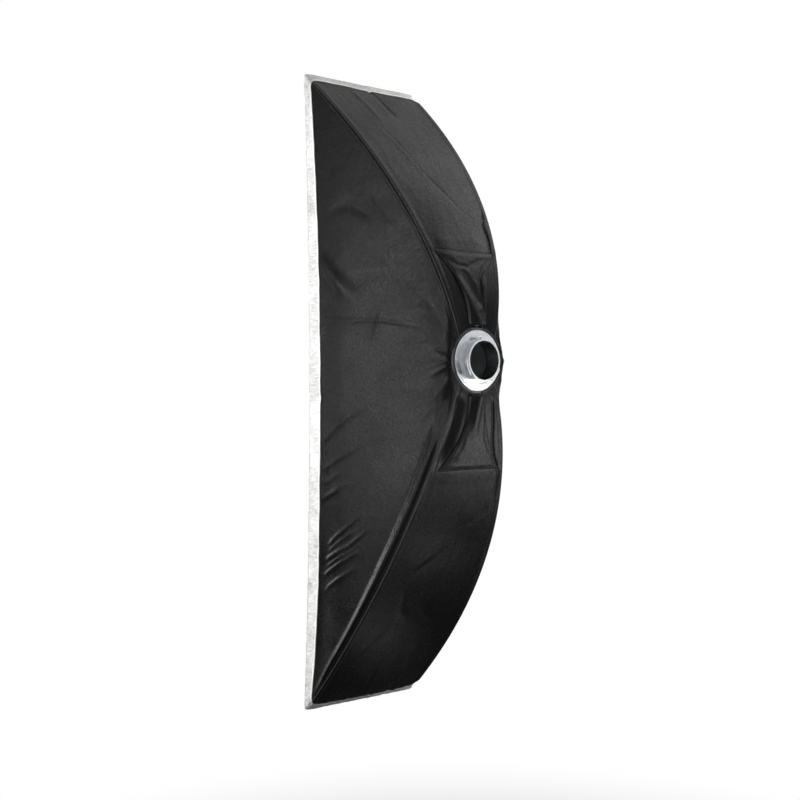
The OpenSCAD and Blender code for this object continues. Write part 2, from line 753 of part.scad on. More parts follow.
module baffle_straps() {
  strap_y = -baffle_y + baffle_t / 2 + strap_t / 2;
  color(trim_black) for (right = [true, false]) for (up = [1, -1]) on_side(right) {
    share = rod_share(up, strap_y);
    grip = rod_point(up, share);
    corner_z = baffle_mid_z + up * (baffle_half_h - strap_hold / 2);
    corner = [baffle_half_w - strap_hold / 2, strap_y, corner_z];
    run = [grip.x - corner.x, 0, grip.z - corner.z];
    reach = norm(run) - (rod_r + strap_t / 2) / abs(rod_way(up, share).y) - seat_gap;
    translate(corner) rotate([0, atan2(run.x, run.z), 0]) translate([-strap_w / 2, -strap_t / 2, 0])
      cube([strap_w, strap_t, reach]);
  }
}

bayonet_insert();
retaining_ring();
retaining_screws();
friction_washer();
speed_ring();
socket_screws();
lock_shoe();
lock_screw();
for (k = [0:3]) {
  rod_socket(k);
  rod_ferrule(k);
  rod(k);
  rod_tip(k);
  corner_pocket(k);
  seam_piping(k);
}
side_panel(true);  // side_panel_right
side_panel(false);  // side_panel_left
end_panel(1);  // top_panel
end_panel(-1);  // bottom_panel
rear_cuff();
rim_band_side(true);  // rim_band_right
rim_band_side(false);  // rim_band_left
rim_band_end(1);  // rim_band_top
rim_band_end(-1);  // rim_band_bottom
rim_lip();
hook_tape();
front_diffuser();
loop_tape();
inner_baffle();
baffle_straps();
for (k = [0:1]) {
  flap(1 - 2 * k);
  flap_patches(1 - 2 * k);
}
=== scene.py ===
import math
from functools import partial
import bpy
import numpy as np
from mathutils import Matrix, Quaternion, Vector, kdtree, noise


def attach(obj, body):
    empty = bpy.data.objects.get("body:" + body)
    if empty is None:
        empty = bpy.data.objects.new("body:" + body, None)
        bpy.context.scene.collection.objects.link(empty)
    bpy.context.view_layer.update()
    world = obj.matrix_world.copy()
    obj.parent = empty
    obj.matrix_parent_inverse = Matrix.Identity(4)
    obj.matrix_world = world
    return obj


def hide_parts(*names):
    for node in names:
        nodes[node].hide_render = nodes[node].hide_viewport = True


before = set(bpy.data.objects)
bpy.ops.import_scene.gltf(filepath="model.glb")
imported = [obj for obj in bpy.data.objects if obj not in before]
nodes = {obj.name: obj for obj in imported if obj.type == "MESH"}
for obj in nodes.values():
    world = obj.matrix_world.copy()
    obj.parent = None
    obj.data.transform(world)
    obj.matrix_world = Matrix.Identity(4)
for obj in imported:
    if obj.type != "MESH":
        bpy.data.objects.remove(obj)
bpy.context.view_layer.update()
scene = bpy.context.scene
scene.view_settings.view_transform = "Standard"
mm = 0.001   # sizes below are in millimetres, Blender's are in metres
backward = np.array([0.0, 1.0, 0.0])
print("frame loaded:", len(nodes), "CAD nodes")


# small helpers for nodes, colours and blends

# a socket is linked, a node is linked by its first output, anything else is a set value
def setInputs(tree, node, inputs):
    for key, value in inputs.items():
        if isinstance(value, bpy.types.Node):
            value = value.outputs[0]
        if isinstance(value, bpy.types.NodeSocket):
            tree.links.new(value, node.inputs[key])
        else:
            node.inputs[key].default_value = value
    return node


def addNode(tree, kind, inputs=None, **settings):
    node = tree.nodes.new(kind)
    for key, value in settings.items():
        setattr(node, key, value)
    return setInputs(tree, node, inputs or {})


def hexColour(text):
    part = [int(text[i:i + 2], 16) / 255 for i in (1, 3, 5)]
    return tuple(c / 12.92 if c <= 0.04045 else ((c + 0.055) / 1.055) ** 2.4 for c in part) + (1.0,)


def mix(a, b, u):
    return a + (b - a) * u


def smooth(x, a, b):
    u = np.clip((x - a) / (b - a), 0.0, 1.0)
    return u * u * (3 - 2 * u)


def bell(x, width):
    return np.exp(-(x / width) ** 2)


def unit(v):
    return v / np.linalg.norm(v)


# seeded noise over points in millimetres, the grain stretched along some axes
def noiseOver(points, scale, seed):
    flat = points.reshape(-1, 3) / np.asarray(scale) + seed * 7.31
    return np.array([noise.noise(Vector(p)) for p in flat.tolist()]).reshape(points.shape[:-1])


# two coordinates down the rows and across the columns of a grid, each as first, last and count
def gridOver(down, across):
    return np.meshgrid(np.linspace(*down), np.linspace(*across), indexing="ij")


# helpers for meshes, as lists of points in millimetres and of faces

def makePiece(name, verts, faces, materials, slots=None, uv=None):
    mesh = bpy.data.meshes.new(name)
    mesh.from_pydata((np.asarray(verts) * mm).tolist(), [], faces)
    for material in materials:
        mesh.materials.append(material)
    if slots is not None:
        mesh.polygons.foreach_set("material_index", slots)
    mesh.polygons.foreach_set("use_smooth", [True] * len(mesh.polygons))
    if uv is not None:
        layer = mesh.uv_layers.new(name="cloth")
        corner = np.zeros(len(mesh.loops), dtype=np.int32)
        mesh.loops.foreach_get("vertex_index", corner)
        layer.data.foreach_set("uv", np.asarray(uv)[corner].ravel())
    mesh.update()
    piece = bpy.data.objects.new(name, mesh)
    scene.collection.objects.link(piece)
    return piece


def gridNormals(points, turn):
    n = turn * np.cross(np.gradient(points, axis=0), np.gradient(points, axis=1))
    return n / np.maximum(np.linalg.norm(n, axis=-1, keepdims=True), 1e-9)


# length run down the columns or along the rows of a grid, from its first edge
def runLength(grid, axis):
    steps = np.linalg.norm(np.diff(grid, axis=axis), axis=-1)
    return np.insert(np.cumsum(steps, axis=axis), 0, 0.0, axis=axis)


# cloth between two skins: points, all faces, and the outer faces once more
def clothParts(points, turn, thick, keep=None):
    rows, cols = points.shape[:2]
    count = rows * cols
    lift = gridNormals(points, turn) * thick / 2
    verts = np.concatenate([(points + lift).reshape(-1, 3), (points - lift).reshape(-1, 3)])
    at = np.arange(count).reshape(rows, cols)
    a, b, c, d = at[:-1, :-1], at[:-1, 1:], at[1:, 1:], at[1:, :-1]
    outer = np.stack([a, d, c, b] if turn > 0 else [a, b, c, d], -1).reshape(-1, 4)
    if keep is not None:
        outer = outer[keep.ravel()]
    edges = set(zip(outer.ravel().tolist(), np.roll(outer, -1, axis=1).ravel().tolist()))
    rim = sorted([q, p, p + count, q + count] for p, q in edges if (q, p) not in edges)
    faces = outer.tolist() + (outer[:, ::-1] + count).tolist() + rim
    return verts, faces, outer


# the outer skin has material 0, the inner one material 1; the piece keeps its cut sizes in metres
def clothPiece(name, points, turn, thick, materials, keep=None):
    verts, faces, outer = clothParts(points, turn, thick, keep)
    count = len(outer)
    slots = [0] * count + [min(1, len(materials) - 1)] * count + [0] * (len(faces) - 2 * count)
    along, across = runLength(points, 0), runLength(points, 1)
    middle = points.shape[1] // 2
    across -= across[:, middle][:, None]
    flat = np.stack([across, along], -1).reshape(-1, 2) * mm
    piece = makePiece(name, verts, faces, materials, slots, np.concatenate([flat, flat]))
    corner = verts[outer]
    twice = np.cross(corner[:, 2] - corner[:, 0], corner[:, 3] - corner[:, 1])
    piece["cutArea"] = float(np.linalg.norm(twice, axis=-1).sum() / 2 * mm ** 2)
    piece["cutWidth"] = float(np.ptp(across, axis=1).max() * mm)
    piece["cutLength"] = float(along[-1, middle] * mm)
    return piece


# quads round a row of rings of points, closed at both ends
def ringFaces(rings, sides):
    faces = []
    for i in range(rings - 1):
        for k in range(sides):
            a, b = i * sides + k, i * sides + (k + 1) % sides
            faces.append([a, b, b + sides, a + sides])
    last = (rings - 1) * sides
    return faces + [list(range(sides))[::-1], list(range(last, last + sides))]


# round tube along a path, with a radius for each ring
def tubeParts(path, radius, sides):
    path = np.asarray(path, dtype=float)
    radius = np.broadcast_to(radius, (len(path),))
    ways = np.gradient(path, axis=0)
    side = np.cross(ways[0], [1.0, 0.0, 0.0])
    if np.linalg.norm(side) < 0.2 * np.linalg.norm(ways[0]):
        side = np.cross(ways[0], [0.0, 0.0, 1.0])
    verts = []
    for p, way, r in zip(path, ways, radius):
        way = unit(way)
        side = unit(side - way * np.dot(side, way))
        up = np.cross(way, side)
        for k in range(sides):
            angle = 2 * math.pi * k / sides
            verts.append(p + r * (math.cos(angle) * side + math.sin(angle) * up))
    return verts, ringFaces(len(path), sides)


# rings round a straight axis, the profile gives the distance along it and the radius
def latheParts(start, way, profile, sides):
    side = unit(np.cross(way, [1.0, 0.0, 0.0]))
    up = np.cross(way, side)
    angles = np.arange(sides) * 2 * math.pi / sides
    circle = np.cos(angles)[:, None] * side + np.sin(angles)[:, None] * up
    verts = np.concatenate([start + way * d + circle * r for d, r in profile])
    return verts, ringFaces(len(profile), sides)


# the same part on another side, its faces still outwards
def mirrorParts(verts, faces, turn, up=1):
    faces = faces if turn * up > 0 else [face[::-1] for face in faces]
    return np.asarray(verts).reshape(-1, 3) * [turn, 1, up], faces


def joinParts(parts):
    verts, faces = [], []
    for v, f in parts:
        shift = len(verts)
        verts.extend(v)
        faces.extend([[i + shift for i in face] for face in f])
    return verts, faces


def settle(piece, body, slot, *replaced):
    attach(piece, body)
    if replaced:
        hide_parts(*replaced)
    return piece


# a sheet, attached to its body in place of its CAD node; its cut area and sides were kept by clothPiece
def settleCloth(piece, body, slot, node):
    settle(piece, body, slot, node)
    return piece


# surfaces of the shell in millimetres, by the same rule as in the part's source

shell = dict(
    edgeX=171.5, edgeZ=782.0, edgeY=-431.0,   # where the cloth meets the rim
    halfW=175.0, halfH=800.0, frontY=-453.0,   # front of the rim
    backY=-4.1, depth=426.9, drop=75.0, holeR=74.0, seamAngle=42.0, seamPower=1.86, sidePower=1.35,
    upperBow=15.0, lowerBow=36.0, longBow=16.0, shortBow=4.0, notchDepth=13.0, notchAngle=25.0,
    slotHalf=14.0, slotEnd=205.0, clothT=1.2, bandT=1.6)
hinge = dict(z=255.0, half=40.0)   # where each flap is sewn on
# up is 1 above and -1 below, turn is 1 on the near side and -1 on the far side
corners = {"upper_right": (1, 1), "lower_right": (-1, 1), "upper_left": (1, -1), "lower_left": (-1, -1)}


def seamBow(up):
    return np.where(np.asarray(up) > 0, shell["upperBow"], shell["lowerBow"])


# t runs from the ring to the front, s across from -1 to 1
def sidePoint(t, s):
    angle = s * shell["seamAngle"]
    r = shell["holeR"] + shell["notchDepth"] * np.maximum(0, 1 - np.abs(angle) / shell["notchAngle"])
    power = mix(shell["sidePower"], shell["seamPower"], s * s)
    x = mix(r * np.cos(np.radians(angle)), shell["edgeX"] - shell["longBow"] * (1 - s * s), t)
    x = x + seamBow(s) * s * s * 4 * t * (1 - t)
    z = mix(r * np.sin(np.radians(angle)), s * shell["edgeZ"] - shell["drop"], t)
    return np.stack([x, shell["backY"] - shell["depth"] * t ** power, z], -1)


# angle at the ring, and heights at the ring and at the front
def endHeights(up, s):
    angle = np.radians(s * (90 - shell["seamAngle"]))
    frontZ = up * (shell["edgeZ"] - shell["shortBow"] * (1 - s * s)) - shell["drop"]
    return angle, up * shell["holeR"] * np.cos(angle), frontZ


def endPoint(up, t, s):
    angle, backZ, frontZ = endHeights(up, s)
    x = mix(shell["holeR"] * np.sin(angle), shell["edgeX"] * s, t) + s * seamBow(up) * 4 * t * (1 - t)
    z = mix(backZ, frontZ, t)
    return np.stack([x, shell["backY"] - shell["depth"] * t ** shell["seamPower"] + 0 * z, z], -1)


def endShare(up, z, s):
    backZ, frontZ = endHeights(up, s)[1:]
    return (z - backZ) / (frontZ - backZ)


# place on an end panel at a height and at a distance from its middle
def endSpot(up, z, x):
    one = np.ones_like(z)
    s = x / endPoint(up, endShare(up, z, one), one)[..., 0]
    return endPoint(up, endShare(up, z, s), s)


def seamPoint(up, t):
    return endPoint(up, t, np.ones_like(t))


# distance from each point to the nearest place on a seam
def seamGap(points, up, steps=1200):
    line = seamPoint(up, np.linspace(0, 1, steps))
    tree = kdtree.KDTree(len(line))
    for i, p in enumerate(line.tolist()):
        tree.insert(p, i)
    tree.balance()
    return np.array([tree.find(p)[2] for p in points.reshape(-1, 3).tolist()]).reshape(points.shape[:-1])


# height of a fold over the cloth: a ridge, or a valley if height is negative, along a run of points
def foldHeight(points, run, height, width, fadeStart, fadeEnd):
    run = np.asarray(run)
    steps = np.linalg.norm(np.diff(run, axis=0), axis=1)
    total, done = steps.sum(), 0.0
    best = np.full(points.shape[:-1], 1e9)
    where = np.zeros(points.shape[:-1])
    for a, b, length in zip(run[:-1], run[1:], steps):
        k = np.clip(((points - a) @ (b - a)) / length ** 2, 0, 1)
        d = np.linalg.norm(points - a - k[..., None] * (b - a), axis=-1)
        near = d < best
        best = np.where(near, d, best)
        where = np.where(near, (done + k * length) / total, where)
        done += length
    fade = smooth(where, -0.001, fadeStart) * (1 - smooth(where, 1 - fadeEnd, 1.001))
    return height * bell(best, width) * fade


def addFolds(points, place, folds):
    rise = np.zeros(points.shape[:-1])
    for run, height, width, fadeStart, fadeEnd in folds:
        spots = [place(np.array(float(t)), np.array(float(s))) for t, s in run]
        rise += foldHeight(points, spots, height, width, fadeStart, fadeEnd)
    return rise


# front corners of cloth and rim are rounded off a little, and the edges between them waver
edgeShape = dict(
    cornerReach=22.0, cornerDepth=(8.0, 3.5), fade=30.0, waver=1.3, waverLength=34.0, calm=(6.0, 40.0),
    frontCalm=0.6, lowWaver=2.4, lowLength=17.0, level=4.0,
    sag=5.0,   # the bottom edge hangs unevenly
    notch=(-12.0, 6.0, 3.5), kink=(-12.0, 9.0, 2.2),   # place, width and depth, in the top and near edges
    pull=(7.0, 9.5), pullFade=110.0)   # the long seams are drawn in and back between the corners


# how far a point lies from the shell's edge towards the front, and the rim's half sides there
def frontShare(y):
    return np.clip((shell["edgeY"] - y) / (shell["edgeY"] - shell["frontY"]), 0, 1)


def rimHalf(u):
    return mix(shell["edgeX"], shell["halfW"], u), mix(shell["edgeZ"], shell["halfH"], u)


def roundOff(points):
    x, y, z = points[..., 0], points[..., 1], points[..., 2] + shell["drop"]
    u = frontShare(y)
    cornerX, cornerZ = rimHalf(u)
    behind = np.maximum(0, y - shell["edgeY"])
    away = np.sqrt((np.abs(x) - cornerX) ** 2 + (np.abs(z) - cornerZ) ** 2 + behind ** 2)
    near = np.maximum(0, 1 - away / edgeShape["cornerReach"])
    inward = mix(*edgeShape["cornerDepth"], u) * near ** 2 / math.sqrt(2)
    return points - np.stack([np.sign(x) * inward, 0 * inward, np.sign(z) * inward], -1)


# facing is (1, 0) or (-1, 0) for the sides and (0, 1) or (0, -1) for top and bottom
def waver(points, facing):
    e = edgeShape
    x, y, z = points[..., 0], points[..., 1], points[..., 2] + shell["drop"]
    u = frontShare(y)
    cornerX, cornerZ = rimHalf(u)
    along, corner = (x, cornerX) if facing[1] else (z, cornerZ)
    spot = np.stack([along / e["waverLength"], 0 * along + 3.0 * facing[0], 0 * along + 5.0 * facing[1]], -1)
    out = e["waver"] * noiseOver(spot, 1.0, 2)
    if facing == (0, -1):
        out += e["lowWaver"] * noiseOver(spot * e["waverLength"] / e["lowLength"], 1.0, 6)
    for side, (place, width, depth) in (((0, 1), e["notch"]), ((1, 0), e["kink"])):
        if facing == side:
            out -= depth * bell(along - place, width)
    out *= 1 - smooth(y, shell["edgeY"], shell["edgeY"] + e["fade"])
    out *= (1 - e["frontCalm"] * smooth(u, 0.0, 1.0)) * smooth(corner - np.abs(along), *e["calm"])
    near = 1 - smooth(y, shell["edgeY"], shell["edgeY"] + e["pullFade"])
    s = np.clip(along / corner, -1, 1)
    back = 0 * out
    if facing[0]:
        share = np.where(s > 0, 1 - s ** 2, 1 - s ** 6) * near * (1 - u)
        out -= e["pull"][0] * share
        back = e["pull"][1] * share
    else:
        out += e["level"] * (1 - s * s) * near
    if facing[1] < 0:
        out += e["sag"] * (1 - s ** 4) * near * (1 - u)
    return points + np.stack([facing[0] * out, back, facing[1] * out], -1)


# materials

def newMaterial(name):
    material = bpy.data.materials.new(name)
    material.use_nodes = True
    tree = material.node_tree
    return material, tree, tree.nodes["Principled BSDF"]


# scale of a pattern whose grain has this size in millimetres
def perMetre(size):
    return 1 / (size * mm)


# scale of a wave texture that repeats at this pitch in millimetres
def wavePitch(pitch):
    return 2 * math.pi / 20 * perMetre(pitch)


# warp and weft crossing at a thread pitch
def addWeave(tree, where, pitch, distortion, detail=2.0):
    threads = []
    for direction in ("X", "Y"):
        wave = addNode(tree, "ShaderNodeTexWave", {"Vector": where, "Scale": wavePitch(pitch),
                                                   "Distortion": distortion, "Detail": detail},
                       bands_direction=direction)
        threads.append(wave.outputs["Fac"])
    return addNode(tree, "ShaderNodeMath", {0: threads[0], 1: threads[1]}, operation="MULTIPLY")


# colour between two tones by one pattern, relief by another with its depth in millimetres
def finishShader(tree, shader, pattern, tones, relief, strength, depth, settings):
    tone = addNode(tree, "ShaderNodeMix", {0: pattern, 6: hexColour(tones[0]), 7: hexColour(tones[1])},
                   data_type="RGBA")
    bump = addNode(tree, "ShaderNodeBump", {"Height": relief, "Strength": strength, "Distance": depth * mm})
    setInputs(tree, shader, {"Base Color": tone.outputs[2], "Normal": bump, **settings})


# polyester oxford, woven and coated: black with a soft satin gloss, faint threads, slightly uneven sheen
def makeShellCloth():
    material, tree, shader = newMaterial("coated black polyester oxford")
    where = addNode(tree, "ShaderNodeUVMap", uv_map="cloth")
    weave = addWeave(tree, where, 1.6, 0.6, 1.0)   # real thread is 0.35 mm, drawn coarser so that it shows
    layers = dict(slubs=(7.69, 4.0, 0.65), patches=(111.0, 3.0, 0.55), grain=(4.17, 3.0, 0.7),
                  mottle=(5.88, 2.0, 0.6), pucker=(8.0, 3.0, 0.6))   # size, detail and roughness
    for name, (size, detail, roughness) in layers.items():
        layers[name] = addNode(tree, "ShaderNodeTexNoise", {"Vector": where, "Scale": perMetre(size),
                                                            "Detail": detail, "Roughness": roughness})
    unevenness = addNode(tree, "ShaderNodeMath", {0: layers["grain"], 1: layers["patches"]}, operation="ADD")
    rough = addNode(tree, "ShaderNodeMapRange", {"Value": unevenness, "From Min": 0.75, "From Max": 1.25,
                                                 "To Min": 0.16, "To Max": 0.36})
    # the coating is thinner over some threads than others
    gloss = addNode(tree, "ShaderNodeMapRange", {"Value": layers["mottle"], "From Min": 0.3, "From Max": 0.7,
                                                 "To Min": 0.027, "To Max": 0.057})
    # packing crumples about 30 mm apart with small sharp creases in them, and a finer pucker
    crumple = addNode(tree, "ShaderNodeTexNoise", {"Vector": where, "Scale": perMetre(31.25), "Detail": 4.0,
                                                   "Roughness": 0.5, "Lacunarity": 2.2, "Distortion": 0.5},
                      noise_type="RIDGED_MULTIFRACTAL")
    coarse = addNode(tree, "ShaderNodeMath", {0: crumple, 1: 1.6, 2: weave}, operation="MULTIPLY_ADD")
    relief = addNode(tree, "ShaderNodeMath", {0: layers["pucker"], 1: 1.5, 2: coarse},
                     operation="MULTIPLY_ADD")
    finishShader(tree, shader, layers["slubs"], ("#020203", "#0d0d0e"), relief, 0.3, 0.4,
                 {"Roughness": rough, "Specular IOR Level": gloss})
    return material


# metallised inner face of the shell cloth: silver with fine crinkles
def makeSilverLining():
    material, tree, shader = newMaterial("silver metallised lining")
    where = addNode(tree, "ShaderNodeUVMap", uv_map="cloth")
    crinkle = addNode(tree, "ShaderNodeTexVoronoi", {"Vector": where, "Scale": perMetre(9.09)},
                      feature="SMOOTH_F1")
    cloud = addNode(tree, "ShaderNodeTexNoise", {"Vector": where, "Scale": perMetre(41.7), "Detail": 4.0})
    finishShader(tree, shader, cloud, ("#b4b8bc", "#d4d7da"), crinkle, 0.5, 0.6,
                 {"Metallic": 0.85, "Roughness": 0.38})
    return material


# ribbed polyester binding and elastic: flat black with cross ribs
def makeTrimCloth():
    material, tree, shader = newMaterial("ribbed black polyester binding")
    where = addNode(tree, "ShaderNodeTexCoord").outputs["Object"]
    # real ribs are 0.8 mm apart, drawn coarser so that they show
    ribs = addNode(tree, "ShaderNodeTexWave", {"Vector": where, "Scale": wavePitch(1.8), "Distortion": 0.4},
                   bands_direction="DIAGONAL")
    fuzz = addNode(tree, "ShaderNodeTexNoise", {"Vector": where, "Scale": perMetre(2.38), "Detail": 3.0})
    relief = addNode(tree, "ShaderNodeMath", {0: fuzz, 1: ribs.outputs["Fac"]}, operation="ADD")
    finishShader(tree, shader, fuzz, ("#0f0f10", "#222224"), relief, 0.5, 0.4,
                 {"Roughness": 0.8, "Specular IOR Level": 0.2, "Sheen Weight": 0.05})
    return material


# white polyester rim band: matt, plain weave, with a random soil tone and painted shade that greys it in its
# crinkles
def makeRimCloth():
    material, tree, shader = newMaterial("white polyester rim cloth")
    where = addNode(tree, "ShaderNodeUVMap", uv_map="cloth")
    weave = addWeave(tree, where, 1.6, 0.5)   # real thread is 0.4 mm, drawn coarser so that it shows
    soil = addNode(tree, "ShaderNodeTexNoise", {"Vector": where, "Scale": perMetre(71.4), "Detail": 5.0,
                                                "Roughness": 0.6})
    # crinkles 4 mm apart and 14 mm long lie slantwise across the band
    slant = addNode(tree, "ShaderNodeMapping", {"Vector": where, "Rotation": (0.0, 0.0, 0.65),
                                                "Scale": (perMetre(4.0), perMetre(14.3), 1.0)})
    pucker = addNode(tree, "ShaderNodeTexNoise", {"Vector": slant, "Scale": 1.0, "Detail": 4.0,
                                                  "Roughness": 0.6, "Distortion": 0.6})
    relief = addNode(tree, "ShaderNodeMath", {0: pucker, 1: 6.0, 2: weave}, operation="MULTIPLY_ADD")
    # painted shade: the crinkle pattern darkens the base colour where shade would fall in the gathers, added
    # to a random soil tone
    soilAndCreaseShade = addNode(tree, "ShaderNodeMath", {0: soil, 1: pucker}, operation="ADD")
    unevenness = addNode(tree, "ShaderNodeMapRange", {"Value": soilAndCreaseShade, "From Min": 0.6, "From Max": 1.25})
    finishShader(tree, shader, unevenness, ("#8a8c8c", "#e2e2e0"), relief, 0.6, 0.6,
                 {"Roughness": 0.7, "Specular IOR Level": 0.3})
    return material


# white diffusion nylon: thin, even, faintly warm, with a fine plain weave
def makeDiffuserCloth():
    material, tree, shader = newMaterial("white diffusion nylon")
    where = addNode(tree, "ShaderNodeUVMap", uv_map="cloth")
    weave = addWeave(tree, where, 2.2, 0.3)   # real thread is 0.25 mm, drawn coarser so that it shows
    cloud = addNode(tree, "ShaderNodeTexNoise", {"Vector": where, "Scale": perMetre(200.0), "Detail": 4.0})
    finishShader(tree, shader, cloud, ("#e9e9e4", "#f5f5f2"), weave, 0.25, 0.3,
                 {"Roughness": 0.55, "Specular IOR Level": 0.35})
    return material


# hook-and-loop tape: a dense pile of short hooks 1.5 mm apart, so rough that it has no gloss
def makePileTape(name, tones):
    material, tree, shader = newMaterial(name)
    where = addNode(tree, "ShaderNodeTexCoord").outputs["Object"]
    pile = addNode(tree, "ShaderNodeTexVoronoi", {"Vector": where, "Scale": perMetre(1.5)})
    finishShader(tree, shader, pile, tones, pile, 0.9, 0.8, {"Roughness": 0.95, "Specular IOR Level": 0.1})
    return material


# polyester sewing thread: twisted, slightly glossy
def makeThread(name, colour):
    material, tree, shader = newMaterial(name)
    where = addNode(tree, "ShaderNodeTexCoord").outputs["Object"]
    twist = addNode(tree, "ShaderNodeTexNoise", {"Vector": where, "Scale": perMetre(0.385), "Detail": 2.0})
    bump = addNode(tree, "ShaderNodeBump", {"Height": twist, "Strength": 0.4, "Distance": 0.2 * mm})
    setInputs(tree, shader, {"Base Color": hexColour(colour), "Normal": bump, "Roughness": 0.5,
                             "Specular IOR Level": 0.3})
    return material


# turned aluminium, clear anodised: bright rings left by the lathe
def makeTurnedAluminium():
    material, tree, shader = newMaterial("turned clear anodised aluminium")
    where = addNode(tree, "ShaderNodeTexCoord").outputs["Object"]
    # lathe feed, drawn coarser than the real 0.2 mm so that it shows
    rings = addNode(tree, "ShaderNodeTexWave", {"Vector": where, "Scale": wavePitch(1.4), "Distortion": 0.3},
                    wave_type="RINGS", rings_direction="Y")
    wear = addNode(tree, "ShaderNodeTexNoise", {"Vector": where, "Scale": perMetre(11.1), "Detail": 5.0})
    rough = addNode(tree, "ShaderNodeMapRange", {"Value": wear, "To Min": 0.16, "To Max": 0.26})
    finishShader(tree, shader, wear, ("#a9acb0", "#c9cbcd"), rings.outputs["Fac"], 0.12, 0.2,
                 {"Metallic": 1.0, "Roughness": rough})
    return material


# die-cast alloy with black powder coat: fine orange peel, rubbed lighter in places
def makePowderCoat():
    material, tree, shader = newMaterial("black powder coated alloy")
    where = addNode(tree, "ShaderNodeTexCoord").outputs["Object"]
    peel = addNode(tree, "ShaderNodeTexNoise", {"Vector": where, "Scale": perMetre(1.11), "Detail": 2.0})
    wear = addNode(tree, "ShaderNodeTexNoise", {"Vector": where, "Scale": perMetre(18.2), "Detail": 6.0,
                                                "Roughness": 0.7})
    finishShader(tree, shader, wear, ("#141416", "#2a2b2d"), peel, 0.3, 0.3,
                 {"Roughness": 0.5, "Specular IOR Level": 0.4})
    return material


# plain metal with a brushed or tumbled surface
def makePlainMetal(name, dark, light, roughLow, roughHigh):
    material, tree, shader = newMaterial(name)
    where = addNode(tree, "ShaderNodeTexCoord").outputs["Object"]
    scratches = addNode(tree, "ShaderNodeTexNoise", {"Vector": where, "Scale": perMetre(2.0), "Detail": 4.0})
    tone = addNode(tree, "ShaderNodeMix", {0: scratches, 6: hexColour(dark), 7: hexColour(light)},
                   data_type="RGBA")
    rough = addNode(tree, "ShaderNodeMapRange",
                    {"Value": scratches, "To Min": roughLow, "To Max": roughHigh})
    setInputs(tree, shader, {"Base Color": tone.outputs[2], "Roughness": rough, "Metallic": 1.0})
    return material


# moulded or drawn plastics and rubber: low gloss with a fine grain
def makeMoulded(name, tones, grain, rough):
    material, tree, shader = newMaterial(name)
    where = addNode(tree, "ShaderNodeTexCoord").outputs["Object"]
    stretch = addNode(tree, "ShaderNodeMapping", {"Vector": where, "Scale": (1.0, 1.0, grain)})
    fibre = addNode(tree, "ShaderNodeTexNoise", {"Vector": stretch, "Scale": perMetre(1.43), "Detail": 3.0})
    finishShader(tree, shader, fibre, tones, fibre, 0.2, 0.2, {"Roughness": rough})
    return material


shellCloth = makeShellCloth()
silverLining = makeSilverLining()
trimCloth = makeTrimCloth()
rimCloth = makeRimCloth()
diffuserCloth = makeDiffuserCloth()
hookPile = makePileTape("black hook tape", ("#2b2b2d", "#060607"))
loopPile = makePileTape("white loop tape", ("#f0f0ec", "#b9b9b5"))
blackThread = makeThread("black polyester thread", "#1a1a1c")
whiteThread = makeThread("white polyester thread", "#e4e4e0")
turnedAluminium = makeTurnedAluminium()
powderCoat = makePowderCoat()
screwSteel = makePlainMetal("zinc plated screw steel", "#8f9194", "#c2c4c6", 0.28, 0.45)
shoeBrass = makePlainMetal("drawn brass", "#9c7a35", "#c7a254", 0.3, 0.48)
nylonWasher = makeMoulded("black nylon", ("#0d0d0e", "#1d1d1f"), 1.0, 0.55)
rodFibre = makeMoulded("pultruded glass fibre", ("#101112", "#2b2d2f"), 0.05, 0.42)
tipRubber = makeMoulded("moulded black rubber", ("#0b0b0b", "#191919"), 1.0, 0.75)
print("materials made")

# rigid CAD nodes keep their shape and get their finish

finishes = {"bayonet_insert": turnedAluminium, "retaining_ring": powderCoat, "speed_ring": powderCoat,
            "retaining_screws": screwSteel, "socket_screws": screwSteel, "lock_shoe": shoeBrass,
            "friction_washer": nylonWasher}
for corner in corners:
    finishes["rod_socket_" + corner] = turnedAluminium
    finishes["rod_ferrule_" + corner] = turnedAluminium
    finishes["rod_tip_" + corner] = tipRubber
for name, finish in finishes.items():
    nodes[name].data.materials.clear()
    nodes[name].data.materials.append(finish)
print("metal and rubber finished:", len(finishes))

# side panels: one curved sheet each, with the folds that the photograph shows

